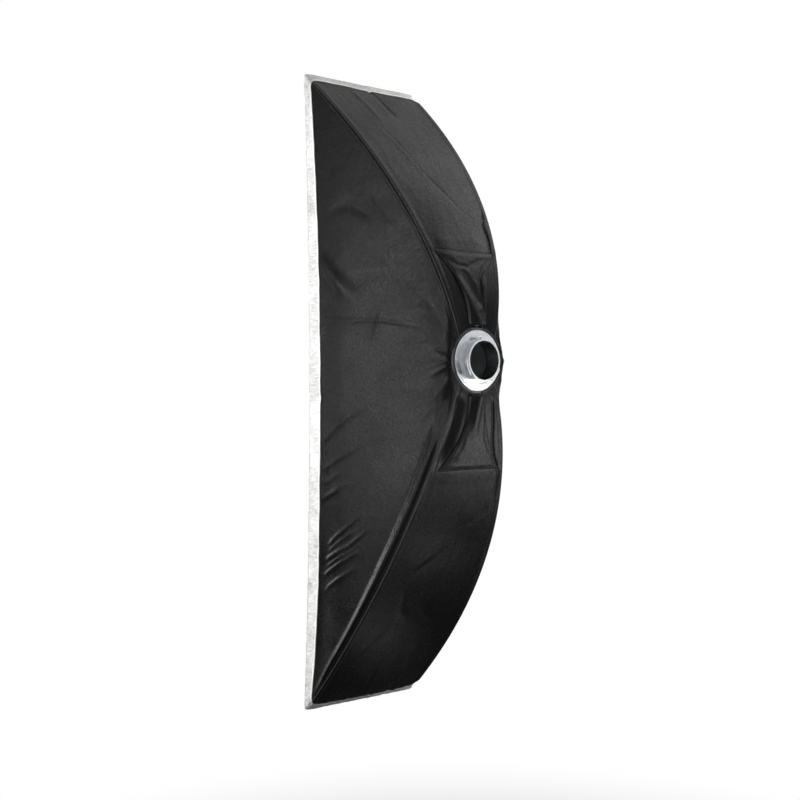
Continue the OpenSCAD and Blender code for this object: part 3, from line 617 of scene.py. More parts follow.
sidePanel = dict(
    rows=130, cols=330, rowPower=1.5, seamPower=1.3, stitchLine=11.0, stitchDip=0.7, stitchWidth=2.0,
    # roll over the rod: height, distance from the seam, width, growth towards the front, run from the ring
    upperRoll=dict(height=2.6, away=6.0, width=3.6, grow=1.0, run=(0.10, 0.97)),
    lowerRoll=dict(height=10.5, away=18.5, width=14.5, grow=0.7, run=(0.14, 1.0)),
    rollFade=(0.15, 0.10), rollGrow=(0.5, 0.9), rollFoot=0.7,
    puff=4.0, puffWidth=60.0, puffPlaces=[(0.12, 0.5), (0.12, -0.5)],
    creaseHeight=0.35, creaseSize=(60.0, 170.0, 52.0), creaseFrom=(0.05, 0.3),
    rippleHeight=0.22, rippleSize=22.0,
    farFolds=0.75, seamCalm=20.0, ringCalm=0.05, frontCalm=0.75, frontFrom=0.94,
    folds=[
        # run of (share from ring to front, place across from -1 low to 1 high), height, width, fades
        ([(0.995, 0.425), (0.80, 0.362), (0.66, 0.33)], 6.0, 24.0, 0.0, 0.6),
        ([(1.0, 0.227), (0.86, 0.247), (0.55, 0.30), (0.158, 0.474)], -1.3, 4.0, 0.0, 0.3),
        ([(1.0, 0.25), (0.86, 0.268), (0.70, 0.30)], 1.2, 7.0, 0.0, 0.6),
        ([(0.69, 0.80), (0.524, 0.784)], 1.0, 6.0, 0.3, 0.3),
        ([(0.93, 0.60), (0.80, 0.70), (0.62, 0.76)], -2.4, 16.0, 0.3, 0.3),
        ([(0.983, -0.253), (0.811, -0.258), (0.648, -0.263)], 1.7, 5.0, 0.0, 0.6),
        ([(0.99, -0.348), (0.871, -0.363), (0.76, -0.376)], 2.0, 5.5, 0.0, 0.6),
        ([(0.98, -0.30), (0.88, -0.31), (0.80, -0.32)], 1.3, 4.0, 0.0, 0.5),
        ([(0.933, -0.524), (0.779, -0.544), (0.66, -0.56)], 2.0, 5.0, 0.1, 0.5),
        ([(0.94, -0.545), (0.80, -0.575), (0.70, -0.61)], 1.6, 4.0, 0.2, 0.4),
        ([(0.95, -0.564), (0.777, -0.624), (0.591, -0.684)], 2.3, 5.0, 0.1, 0.4),
        ([(0.955, -0.587), (0.80, -0.64), (0.66, -0.70)], 1.7, 4.0, 0.2, 0.4),
        ([(0.96, -0.609), (0.806, -0.659), (0.653, -0.734)], 2.3, 5.0, 0.1, 0.4),
        ([(0.948, -0.664), (0.806, -0.714), (0.70, -0.77)], 1.9, 5.0, 0.1, 0.4),
        ([(0.99, -0.16), (0.80, -0.12), (0.60, -0.09)], 1.8, 10.0, 0.0, 0.5),
        ([(0.60, 0.39), (0.637, 0.26), (0.66, 0.16)], -1.8, 9.0, 0.4, 0.4),
        ([(0.33, 0.626), (0.22, 0.615), (0.10, 0.50)], -1.2, 8.0, 0.4, 0.3),
        ([(0.27, 0.78), (0.16, 0.74), (0.06, 0.66)], -1.2, 7.0, 0.4, 0.3),
        ([(0.20, 0.18), (0.06, 0.12)], 1.0, 6.0, 0.5, 0.0),
        ([(0.22, -0.10), (0.06, -0.12)], 1.0, 6.0, 0.5, 0.0),
        ([(0.20, -0.40), (0.05, -0.42)], 1.2, 6.0, 0.5, 0.0),
        ([(0.03, -0.66), (0.12, -0.78), (0.22, -0.88)], -3.0, 12.0, 0.2, 0.3)])


def sidePanelPoints(mirrored):
    v = sidePanel
    across = np.linspace(-1, 1, v["cols"])
    # the columns lie closer together beside the seams
    across = np.sign(across) * (1 - (1 - np.abs(across)) ** v["seamPower"])
    t, s = np.meshgrid(np.linspace(0, 1, v["rows"]) ** v["rowPower"], across, indexing="ij")
    points = sidePoint(t, s)
    n = gridNormals(points, -1)
    upper, lower = seamGap(points, 1), seamGap(points, -1)
    seed = 3.0 if mirrored else 1.0
    rise = addFolds(points, sidePoint, v["folds"]) * (v["farFolds"] if mirrored else 1.0)
    # long soft creases run from the ring out to the rim, small ripples lie between them
    crease = 1 - 2 * np.abs(noiseOver(points, v["creaseSize"], seed))
    rise += v["creaseHeight"] * crease ** 3 * smooth(t, *v["creaseFrom"])
    rise += v["rippleHeight"] * noiseOver(points, v["rippleSize"], seed + 1)
    for place in v["puffPlaces"]:
        away = np.linalg.norm(points - sidePoint(*np.array(place)), axis=-1)
        rise += v["puff"] * bell(away, v["puffWidth"])
    rise *= smooth(np.minimum(upper, lower), 0.0, v["seamCalm"]) * smooth(t, 0.0, v["ringCalm"])
    rise *= 1 - v["frontCalm"] * smooth(t, v["frontFrom"], 1.0)
    for gap, roll in ((upper, v["upperRoll"]), (lower, v["lowerRoll"])):
        start, end = roll["run"]
        share = smooth(t, start, start + v["rollFade"][0]) * (1 - smooth(t, end - v["rollFade"][1], end))
        size = mix(1.0, roll["grow"], smooth(t, *v["rollGrow"]))
        ridge = roll["height"] * size * share * bell(gap / size - roll["away"], roll["width"])
        rise += ridge * smooth(gap, 0.0, roll["away"] * v["rollFoot"])
    rise -= v["stitchDip"] * bell(upper - v["stitchLine"], v["stitchWidth"])
    points = waver(roundOff(points + n * rise[..., None]), (1, 0))
    return points * [-1, 1, 1] if mirrored else points


sideGrids = {}
for turn, name, node in ((1, "sidePanelRight", "side_panel_right"),
                         (-1, "sidePanelLeft", "side_panel_left")):
    sideGrids[turn] = sidePanelPoints(turn < 0)
    panel = clothPiece(name, sideGrids[turn], -turn, shell["clothT"], [shellCloth, silverLining])
    settleCloth(panel, "box", "shell_cloth", node)
print("side panels sewn:", len(panel.data.polygons), "faces each")

# top and bottom panels, each with the access slot under its flap; key 1 is the top, -1 the bottom

endPanel = dict(
    slotRows=34, hingeRows=26, hingeEnd=300.0, farRows=84, sideCols=46, slotCols=6,
    stitchLine=9.0, stitchDip=0.6, stitchWidth=2.0,
    weltWidth=13.0, weltEdge=3.0, weltHeight=1.3, weltFrom={1: (0.03, 0.1), -1: (0.24, 0.4)},
    creaseHeight=0.4, creaseSize=(34, 120, 120), rippleHeight=0.22, rippleSize=20.0,
    seamCalm=(4.0, 16.0), ringCalm=0.06, frontCalm=0.7, frontFrom=0.95,
    # heights over the ring between which the cloth lies low, rises and is level beside the hinge
    underFlap=(258, 280), hingeRise=1.1, riseIn=(250, 256), riseOut=(258, 292),
    levelIn=(247, 254), levelOut=(257, 330),
    folds={1: [
        ([(0.86, 0.42), (0.72, 0.26), (0.596, 0.134), (0.50, -0.16), (0.444, -0.386), (0.45, -0.60)],
         -1.4, 4.5, 0.3, 0.3),
        ([(0.80, 0.40), (0.66, 0.24), (0.56, 0.06)], 1.2, 8.0, 0.3, 0.3),
        ([(0.53, 0.98), (0.535, 0.45), (0.541, -0.04)], 0.7, 4.0, 0.1, 0.4),
        ([(0.50, -0.97), (0.466, -0.90), (0.421, -0.794), (0.359, -0.85), (0.294, -0.80)],
         -2.6, 4.0, 0.2, 0.0),
        ([(0.46, -1.0), (0.40, -0.96), (0.33, -0.95)], 2.0, 10.0, 0.2, 0.2),
        ([(0.97, -0.10), (0.92, -0.12), (0.84, -0.20)], -1.6, 6.0, 0.0, 0.5),
        ([(0.97, 0.30), (0.90, 0.26), (0.80, 0.22)], 1.2, 7.0, 0.0, 0.5),
        ([(0.34, 0.90), (0.33, 0.40), (0.34, -0.40), (0.33, -0.90)], 0.8, 9.0, 0.2, 0.2)
    ], -1: [
        ([(0.548, 0.60), (0.50, 0.32), (0.464, 0.10), (0.434, -0.427)], 1.8, 9.0, 0.3, 0.4),
        ([(0.57, 0.52), (0.53, 0.30), (0.50, 0.05)], -1.4, 7.0, 0.3, 0.4),
        ([(0.56, 0.56), (0.677, 0.366), (0.74, 0.0)], 1.5, 8.0, 0.3, 0.4),
        ([(0.66, 0.10), (0.72, -0.30), (0.75, -0.62)], 1.4, 8.0, 0.3, 0.4),
        ([(0.86, 0.70), (0.78, 0.50), (0.70, 0.42)], 1.2, 6.0, 0.3, 0.4),
        ([(0.36, -0.85), (0.40, -0.40), (0.42, 0.10)], -1.2, 8.0, 0.2, 0.4),
        ([(0.97, 0.10), (0.90, 0.14), (0.82, 0.10)], -1.4, 6.0, 0.0, 0.5),
        ([(0.95, -0.45), (0.86, -0.40), (0.78, -0.30)], 1.4, 7.0, 0.0, 0.5),
        # groove beside the flap's far edge
        ([(0.03, -0.79), (0.067, -0.714), (0.111, -0.684), (0.155, -0.65), (0.206, -0.70), (0.262, -0.89),
          (0.325, -0.86), (0.393, -0.80)], -3.0, 4.5, 0.05, 0.3)]},
    # hollow between the near seam and the lower flap
    hollow=([(0.02, 0.80), (0.10, 0.80), (0.17, 0.85), (0.24, 0.94)], -7.5, 17.0, 0.1, 0.3),
    hollowSeam=5.0, hollowFrom=(0.01, 0.06))


def endPanelPoints(up):
    v = endPanel
    place = partial(endPoint, up)
    slotShare, hingeShare = (endShare(up, up * z, 0.0) for z in (shell["slotEnd"], v["hingeEnd"]))
    rows = np.concatenate([np.linspace(0, slotShare, v["slotRows"]),
                           np.linspace(slotShare, hingeShare, v["hingeRows"])[1:],
                           np.linspace(hingeShare, 1, v["farRows"])[1:]])[:, None]
    slot = shell["slotHalf"] / seamPoint(up, rows)[..., 0]
    out = np.linspace(0, 1, v["sideCols"])
    middle = np.linspace(0, 1, v["slotCols"] + 2)[1:-1]
    s = np.concatenate([mix(-1, -slot, out), mix(-slot, slot, middle), mix(slot, 1, out)], 1)
    t = rows + 0 * s
    points = endPoint(up, t, s)
    n = gridNormals(points, up)
    seam = np.minimum(seamGap(points, up), seamGap(points * [-1, 1, 1], up))
    rise = addFolds(points, place, v["folds"][up])
    rise += v["creaseHeight"] * (1 - 2 * np.abs(noiseOver(points, v["creaseSize"], 5 + up))) ** 3
    rise += v["rippleHeight"] * noiseOver(points, v["rippleSize"], 8 + up)
    rise *= smooth(seam, *v["seamCalm"]) * smooth(t, 0.0, v["ringCalm"])
    rise *= 1 - v["frontCalm"] * smooth(t, v["frontFrom"], 1.0)
    if up < 0:
        hollow = addFolds(points, place, [v["hollow"]])
        rise += hollow * smooth(seam, 0.0, v["hollowSeam"]) * smooth(t, *v["hollowFrom"])
    # the cloth stays low where the flap lies over it, and rises to the flap's edge where that is sewn on
    z = np.abs(points[..., 2])
    rise = mix(rise, np.minimum(rise, 0.0), 1 - smooth(z, *v["underFlap"]))
    rise += v["hingeRise"] * smooth(z, *v["riseIn"]) * (1 - smooth(z, *v["riseOut"]))
    welt = 1 - smooth(seam, v["weltWidth"] - v["weltEdge"], v["weltWidth"])
    rise += v["weltHeight"] * welt * smooth(t, *v["weltFrom"][up])
    rise -= v["stitchDip"] * bell(seam - v["stitchLine"], v["stitchWidth"])
    points = points + n * rise[..., None]
    # beside the flap's hinge the cloth is level with the straight hinge line
    x, z = np.abs(points[..., 0]), np.abs(points[..., 2])
    hingeX = seamPoint(up, endShare(up, up * hinge["z"], 1.0))[0]
    level = -endSpot(up, up * hinge["z"], np.minimum(x, hingeX))[..., 1]
    level = (level - level.min()) * np.clip(2 - x / hinge["half"], 0, 1)
    points[..., 1] += level * smooth(z, *v["levelIn"]) * (1 - smooth(z, *v["levelOut"]))
    keep = np.ones((len(t) - 1, s.shape[1] - 1), dtype=bool)
    keep[:v["slotRows"] - 1, v["sideCols"] - 1:v["sideCols"] + v["slotCols"]] = False
    return waver(roundOff(points), (0, up)), keep


endGrids = {}
for up, name, node in ((1, "topPanel", "top_panel"), (-1, "bottomPanel", "bottom_panel")):
    endGrids[up], keep = endPanelPoints(up)
    panel = clothPiece(name, endGrids[up], up, shell["clothT"], [shellCloth, silverLining], keep)
    settleCloth(panel, "box", "shell_cloth", node)
print("top and bottom panels sewn")

# piping in the four long seams, and binding round the slots

piping = dict(radius=1.9, run=(0.004, 0.998), rings=150, sides=10, lumps=0.12, lumpLength=9.0,
              slotRadius=1.2, slotSides=8)


# binding, elastic or webbing on the box
def addTrim(name, parts, *replaced):
    settle(makePiece(name, *parts, [trimCloth]), "box", "trim_cloth", *replaced)


for corner, (up, turn) in corners.items():
    path = roundOff(seamPoint(up, np.linspace(*piping["run"], piping["rings"]))) * [turn, 1, 1]
    lumps = [noise.noise(Vector((p[2] / piping["lumpLength"], up * 3.0, turn * 5.0))) for p in path]
    tube = tubeParts(path, piping["radius"] + piping["lumps"] * np.array(lumps), piping["sides"])
    addTrim("seamPiping_" + corner, tube, "seam_piping_" + corner)

slotEdges = []
slotRow = endPanel["slotRows"] - 1
slotLeft, slotRight = endPanel["sideCols"] - 1, endPanel["sideCols"] + endPanel["slotCols"]
for grid in endGrids.values():
    across = grid[slotRow, slotLeft + 1:slotRight]
    path = np.concatenate([grid[:slotRow + 1, slotLeft], across, grid[slotRow::-1, slotRight]])
    slotEdges.append(tubeParts(path, piping["slotRadius"], piping["slotSides"]))
addTrim("slotBinding", joinParts(slotEdges))
print("piping and slot binding laid")

# gathered elastic cuff round the hole, in four runs between notches and slots

cuff = dict(first=27.0, last=77.5, middleR=76.0, y=-2.75, halfWide=2.0, halfThick=0.45,
            gatherPitch=3.4, gatherDepth=0.25, gatherWidth=0.2, rings=120, sides=10)
angles = np.radians(np.linspace(cuff["first"], cuff["last"], cuff["rings"]))
outward = np.stack([np.cos(angles), 0 * angles, np.sin(angles)], -1)
verts, faces = tubeParts(outward * cuff["middleR"], cuff["halfWide"], cuff["sides"])
tube = np.reshape(verts, (cuff["rings"], cuff["sides"], 3))
phase = angles * cuff["middleR"] / cuff["gatherPitch"] * 2 * math.pi
ripple = 1 + cuff["gatherDepth"] * np.sin(phase)[:, None]
away = (tube * outward[:, None]).sum(-1) - cuff["middleR"]
shaped = outward[:, None] * (cuff["middleR"] + away * mix(1.0, ripple, cuff["gatherWidth"]))[..., None]
shaped[..., 1] = cuff["y"] + tube[..., 1] / cuff["halfWide"] * cuff["halfThick"] * ripple
cuffRuns = [mirrorParts(shaped, faces, turn, up) for up, turn in corners.values()]
addTrim("rearCuff", joinParts(cuffRuns), "rear_cuff")
print("rear cuff gathered")

# flaps over the access slots, u from the hinge to the free end, v across; key 1 is the upper one

flap = dict(
    endZ=82.0, hingeHalf=94.0, endHalf=26.0, taper=2.2, lift=2.8, arch=14.0, levelPower=3.0,
    thick=1.2, rows=80, cols=72, hemR=1.1, hemLift=0.2, hemPower=8, hemEnd=0.08, hemRings=40, hemSides=12,
    rippleHeight=0.35, rippleSize=16.0, sink=0.85, sinkMore=1.0, hingeCalm=0.12, sideCalm=0.5, sideFrom=0.9,
    edgeDown=1.7, downHinge=0.07, downSide=0.82,   # the hinge edge and the sides lie down on the panel
    folds={1: [
        ([(0.24, 0.95), (0.36, 0.97), (0.49, 0.92), (0.67, 0.72), (1.0, 0.15)], 3.4, 9.0, 0.3, 0.0),
        ([(0.22, 0.52), (0.34, 0.42), (0.47, 0.25), (0.67, -0.13), (0.80, -0.30)], -4.5, 9.0, 0.3, 0.2),
        ([(0.04, -0.86), (0.23, -0.62), (0.40, -0.44), (0.62, -0.50), (0.90, -0.72)], -3.0, 4.0, 0.1, 0.1),
        ([(0.30, -0.80), (0.55, -0.78), (0.90, -0.95)], 2.0, 8.0, 0.3, 0.1),
        ([(0.10, 0.90), (0.20, 0.55), (0.22, 0.10), (0.12, -0.45), (0.05, -0.8)], -1.6, 6.0, 0.1, 0.1)
    ], -1: [
        ([(0.35, 0.30), (0.65, 0.22), (1.0, 0.12)], 1.6, 9.0, 0.4, 0.0),
        ([(0.30, -0.20), (0.60, -0.32), (0.95, -0.40)], -1.4, 7.0, 0.4, 0.2),
        ([(0.17, -0.86), (0.45, -0.70), (0.80, -0.80)], -1.6, 4.0, 0.2, 0.2),
        ([(0.10, 0.62), (0.30, 0.50), (0.60, 0.55)], 1.2, 6.0, 0.2, 0.4),
        ([(0.03, 0.80), (0.06, 0.30), (0.03, -0.20), (0.08, -0.77)], 1.0, 5.0, 0.2, 0.2)]})


def flapBase(up, u, v):
    half = mix(flap["endHalf"], flap["hingeHalf"], (1 - u) ** flap["taper"])
    return endSpot(up, up * mix(hinge["z"], flap["endZ"], u), v * half)


def flapPoint(up, u, v):
    zero = np.zeros_like(u)
    past = np.maximum(0, np.abs(v) * flap["hingeHalf"] - hinge["half"])
    level = (flapBase(up, zero, zero) - flapBase(up, zero, v))[..., 1]
    level = level * np.maximum(0, 1 - past / hinge["half"]) * (1 - u) ** flap["levelPower"]
    rise = flap["lift"] + level + flap["arch"] * u * u * (1 - v * v)
    return flapBase(up, u, v) + rise[..., None] * backward


def flapPoints(up):
    f = flap
    u, v = gridOver((0, 1, f["rows"]), (-1, 1, f["cols"]))
    points = flapPoint(up, u, v)
    rise = addFolds(points, partial(flapPoint, up), f["folds"][up])
    rise += f["rippleHeight"] * noiseOver(points, f["rippleSize"], 12 + up)
    rise = np.maximum(rise, -f["sink"] * f["arch"] * u * u * (1 - v * v) - f["sinkMore"])
    rise *= smooth(u, 0.0, f["hingeCalm"]) * (1 - f["sideCalm"] * smooth(np.abs(v), f["sideFrom"], 1.0))
    down = np.maximum(1 - smooth(u, 0.0, f["downHinge"]), smooth(np.abs(v), f["downSide"], 1.0))
    return points + (rise - f["edgeDown"] * down)[..., None] * backward


flapGrids = {}
for up, name, node in ((1, "upperFlap", "upper_flap"), (-1, "lowerFlap", "lower_flap")):
    flapGrids[up] = flapPoints(up)
    piece = clothPiece(name, flapGrids[up], -up, flap["thick"], [shellCloth, shellCloth])
    settleCloth(piece, node, "shell_cloth", node)
    half = flap["cols"] // 2
    middle = flapGrids[up][0, half - 1:half + 1].mean(0)
    x = np.linspace(-hinge["half"], hinge["half"], flap["hemRings"])
    path = np.stack([x, 0 * x + middle[1] + flap["hemLift"], 0 * x + middle[2]], -1)
    ends = np.sqrt(np.clip(1 - (x / hinge["half"]) ** flap["hemPower"], flap["hemEnd"], 1))
    tube = tubeParts(path, flap["hemR"] * ends, flap["hemSides"])
    settle(makePiece(name + "Hem", *tube, [trimCloth]), node, "shell_cloth")
print("flaps cut and folded")

# hook patches beside the slots

patch = dict(inner=16.0, outer=24.0, lowZ=88.0, highZ=122.0, rise=1.4, thick=1.0, rows=18, cols=8)
for up, name, node in ((1, "upperFlapPatches", "upper_flap_patches"),
                       (-1, "lowerFlapPatches", "lower_flap_patches")):
    z, x = gridOver((patch["lowZ"], patch["highZ"], patch["rows"]),
                    (patch["inner"], patch["outer"], patch["cols"]))
    points = endSpot(up, up * z, x)
    points = points + gridNormals(points, up) * patch["rise"]
    halves = [clothParts(points * [turn, 1, 1], up * turn, patch["thick"])[:2] for turn in (1, -1)]
    settle(makePiece(name, *joinParts(halves), [hookPile]), "box", "trim_cloth", node)
print("hook patches laid")

# pale rim band, gathered a little along its seam, with a beaded front edge

band = dict(rows=12, longCols=420, shortCols=110, gather=0.9, gatherLow=2.0,
            slant=(14.0, 40.0), waveSize=(26.0 / 2.4, 60, 1), creaseSize=(26.0, 80, 1),
            waveFade=0.5, creaseShare=0.8, endCalm=12.0, seamCalm=0.15,
            beadR=1.2, weltR=2.1, weltLift=0.8, sides=8)


# u runs from the seam to the front, s along the band; turn is set for a side, up for the top or the bottom
def bandPoint(turn, up, u, s):
    halfX, halfZ = rimHalf(u)
    x, z = turn * (halfX - shell["longBow"] * (1 - s * s)), s * halfZ
    if up:
        x, z = s * halfX, up * (halfZ - shell["shortBow"] * (1 - s * s))
    return np.stack([x, mix(shell["edgeY"], shell["frontY"], u), z - shell["drop"]], -1)


def gathered(points, turn, seed, height):
    n = gridNormals(points, turn)
    run = runLength(points, 1)
    u = np.linspace(0, 1, points.shape[0])[:, None]
    spot = np.stack([run + band["slant"][0] * u, band["slant"][1] * u + 0 * run, 0 * run + seed], -1)
    waves = noiseOver(spot, band["waveSize"], seed) * (1 - band["waveFade"] * u)
    crease = (1 - 2 * np.abs(noiseOver(spot, band["creaseSize"], seed + 2))) ** 3 * (1 - u)
    calm = smooth(run, 0, band["endCalm"]) * (1 - smooth(run, run.max() - band["endCalm"], run.max()))
    rise = height * (waves + crease * band["creaseShare"]) * calm * smooth(u, 0.0, band["seamCalm"])
    return points + n * rise[..., None]


beads, welts = [], []
rimSides = dict(Right=(1, 0), Left=(-1, 0), Top=(0, 1), Bottom=(0, -1))   # turn and up
for side, (turn, up) in rimSides.items():
    u, s = gridOver((0, 1, band["rows"]), (-1, 1, band["shortCols"] if up else band["longCols"]))
    flip = up or -turn
    height = band["gatherLow"] if up < 0 else band["gather"]
    points = gathered(bandPoint(turn, up, u, s), flip, 20 + 3 * up + turn, height)
    points = waver(roundOff(points), (turn, up))
    piece = clothPiece("rimBand" + side, points, flip, shell["bandT"], [rimCloth, silverLining])
    settleCloth(piece, "box", "rim_cloth", "rim_band_" + side.lower())
    edge = points[-1].copy()
    edge[:, 1] = shell["frontY"] + band["beadR"]
    beads.append(tubeParts(edge, band["beadR"], band["sides"]))
    if up >= 0:
        lift = gridNormals(points, flip)[0] * band["weltLift"]
        welts.append(tubeParts(points[0] + lift, band["weltR"], band["sides"]))
verts, faces = joinParts(beads)
flat = np.array(verts) @ [[1, 0], [1, 0], [0, 1]] * mm
settle(makePiece("rimBead", verts, faces, [rimCloth], uv=flat), "box", "rim_cloth")
settle(makePiece("rimWelt", *joinParts(welts), [whiteThread]), "box", "rim_cloth")
print("rim band gathered")

# lip behind the diffuser, its hook tape, the diffuser and its loop tape

opening = dict(
    wall=1.9, lipW=25.0, lipBack=-445.6, lipT=1.2, hookY=-447.3, loopY=-448.3, tapeT=0.9, tapeInset=1.0,
    bow=2.0,   # what the level rim leaves of the bow in the short edges
    longSteps=121, shortSteps=41, stripRows=7, sheetRows=320, sheetCols=110, sheetY=-449.4, sheetT=1.1,
    # slack pulls slantwise from the corners, the hem stands a little proud
    slack=0.7, slackFrom=40.0, pulls=22, pullReach=140.0, pullFrom=(5.0, 50.0), pullStart=1e-4,
    cloud=0.8, cloudSize=(90, 1, 260), hemW=18.0, hemRise=0.35, hemEdge=2.0, hemDip=0.3, dipWidth=2.5)


def openingHalf(y, inset):
    return [half - opening["wall"] - inset for half in rimHalf(frontShare(y))]


# once round the opening at an inset, from the lower right corner
def openingLoop(y, inset):
    halfX, halfZ = openingHalf(y, inset)
    b = np.linspace(-1, 1, opening["longSteps"])[:-1]
    a = np.linspace(1, -1, opening["shortSteps"])[:-1]
    right = np.stack([halfX - shell["longBow"] * (1 - b ** 2), b * halfZ], -1)
    top = np.stack([a * halfX, halfZ - opening["bow"] * (1 - a ** 2)], -1)
    loop = np.concatenate([right, top, -right, -top])
    return roundOff(np.stack([loop[:, 0], 0 * loop[:, 0] + y, loop[:, 1] - shell["drop"]], -1))


def frameStrip(name, y, insets, thick, materials):
    rows = np.stack([openingLoop(y, inset) for inset in np.linspace(*insets, opening["stripRows"])])
    rows = np.concatenate([rows, rows[:, :1]], 1)
    return clothPiece(name, rows, -1, thick, materials)


def diffuserPoints():
    v = opening
    halfX, halfZ = openingHalf(v["sheetY"], 0.0)
    b, a = gridOver((-1, 1, v["sheetRows"]), (-1, 1, v["sheetCols"]))
    x = a * (halfX - shell["longBow"] * (1 - b * b))
    z = b * (halfZ - v["bow"] * (1 - a * a))
    points = np.stack([x, v["sheetY"] + 0 * x, z - shell["drop"]], -1)
    edge = np.minimum((1 - np.abs(a)) * halfX, (1 - np.abs(b)) * halfZ)
    rise = v["cloud"] * noiseOver(points, v["cloudSize"], 31)
    for up, turn in corners.values():
        dx, dz = np.abs(x - turn * halfX), np.abs(z - up * halfZ)
        reach = np.hypot(dx, dz) + v["pullStart"]
        fan = np.sin(np.arctan2(dz, dx) * v["pulls"])
        rise += fan * np.exp(-reach / v["pullReach"]) * smooth(reach, *v["pullFrom"])
    rise *= v["slack"] * smooth(edge, v["hemW"], v["hemW"] + v["slackFrom"])
    rise += v["hemRise"] * (1 - smooth(edge, v["hemW"] - v["hemEdge"], v["hemW"]))
    rise -= v["hemDip"] * bell(edge - v["hemW"], v["dipWidth"])
    return roundOff(points) - rise[..., None] * backward


lipY = opening["lipBack"] - opening["lipT"] / 2
lip = frameStrip("rimLip", lipY, (0.0, opening["lipW"]), opening["lipT"], [shellCloth, silverLining])
settleCloth(lip, "box", "shell_cloth", "rim_lip")
tapeInsets = (opening["tapeInset"], opening["lipW"] - opening["tapeInset"])
hookTape = frameStrip("hookTape", opening["hookY"], tapeInsets, opening["tapeT"], [hookPile])
settle(hookTape, "box", "trim_cloth", "hook_tape")
loopTape = frameStrip("loopTape", opening["loopY"], tapeInsets, opening["tapeT"], [loopPile])
settle(loopTape, "diffuser", "diffuser_cloth", "loop_tape")
sheetGrid = diffuserPoints()
diffuser = clothPiece("frontDiffuser", sheetGrid, -1, opening["sheetT"], [diffuserCloth, diffuserCloth])
settleCloth(diffuser, "diffuser", "diffuser_cloth", "front_diffuser")
print("lip, tapes and diffuser laid")

# fibre rods inside the seams

rod = dict(first=0.07, last=0.985, inset=7.8, backGap=24.0, frontGap=6.0, drop=6.0, radius=2.5,
           grip=16.0, tail=10.7, rings=90, sides=12, steps=4000)


def rodPoint(up, t):
    t = np.asarray(t, dtype=float)
    gap = mix(rod["backGap"], rod["frontGap"], t)
    return seamPoint(up, t) - np.stack([0 * t + rod["inset"], gap, up * rod["drop"] * t], -1)


def rodWay(up, t, step=0.002):
    return unit(rodPoint(up, t + step) - rodPoint(up, t - step))


for corner, (up, turn) in corners.items():
    path = rodPoint(up, np.linspace(rod["first"], rod["last"], rod["rings"]))
    head = path[0] - rodWay(up, rod["first"]) * rod["grip"]
    tail = path[-1] + rodWay(up, rod["last"]) * rod["tail"]
    tube = tubeParts(np.concatenate([[head], path, [tail]]) * [turn, 1, 1], rod["radius"], rod["sides"])
    settle(makePiece("rod_" + corner + "_fibre", *tube, [rodFibre]), "box", "rod_fibre", "rod_" + corner)
print("rods laid in the seams")

# sewn pockets that hold the rod tips in the front corners

pocket = dict(setback=2.0, depth=12.3, wall=1.8, outerR=6.05, innerR=4.25, sides=24)
inner, outer = pocket["innerR"], pocket["outerR"]
floorAt, endAt = pocket["depth"], pocket["depth"] + pocket["wall"]
pocketProfile = [   # from the floor inside out to the mouth, over its hem and back to the closed end
    (floorAt - 0.1, 0.4), (floorAt - 0.3, inner - 0.3), (floorAt - 1.0, inner), (0.4, inner),
    (0.0, inner + 0.5), (0.0, outer - 0.5), (0.5, outer), (2.6, outer), (3.0, outer - 0.4),
    (3.4, outer - 0.1), (endAt - 2.2, outer - 0.1), (endAt - 0.7, outer - 0.9), (endAt, outer - 2.6),
    (endAt, 0.4)]
for corner, (up, turn) in corners.items():
    way = rodWay(up, rod["last"])
    mouth = rodPoint(up, rod["last"]) + way * pocket["setback"]
    parts = mirrorParts(*latheParts(mouth, way, pocketProfile, pocket["sides"]), turn)
    addTrim("cornerPocket_" + corner, parts, "corner_pocket_" + corner)
print("corner pockets sewn")

# white inner baffle on four straps that loop round the rods

baffle = dict(y=-250.0, midZ=-48.75, halfW=106.0, halfH=510.0, thick=1.2, rows=150, cols=50,
              slack=1.2, slackSize=(70, 1, 220), slackFrom=60.0)
b, a = gridOver((-1, 1, baffle["rows"]), (-1, 1, baffle["cols"]))
points = np.stack([a * baffle["halfW"], 0 * a + baffle["y"], b * baffle["halfH"] + baffle["midZ"]], -1)
edge = np.minimum((1 - np.abs(a)) * baffle["halfW"], (1 - np.abs(b)) * baffle["halfH"])
slack = baffle["slack"] * noiseOver(points, baffle["slackSize"], 41)
points[..., 1] += slack * smooth(edge, 0, baffle["slackFrom"])
innerBaffle = clothPiece("innerBaffle", points, 1, baffle["thick"], [diffuserCloth, diffuserCloth])
settleCloth(innerBaffle, "box", "diffuser_cloth", "inner_baffle")

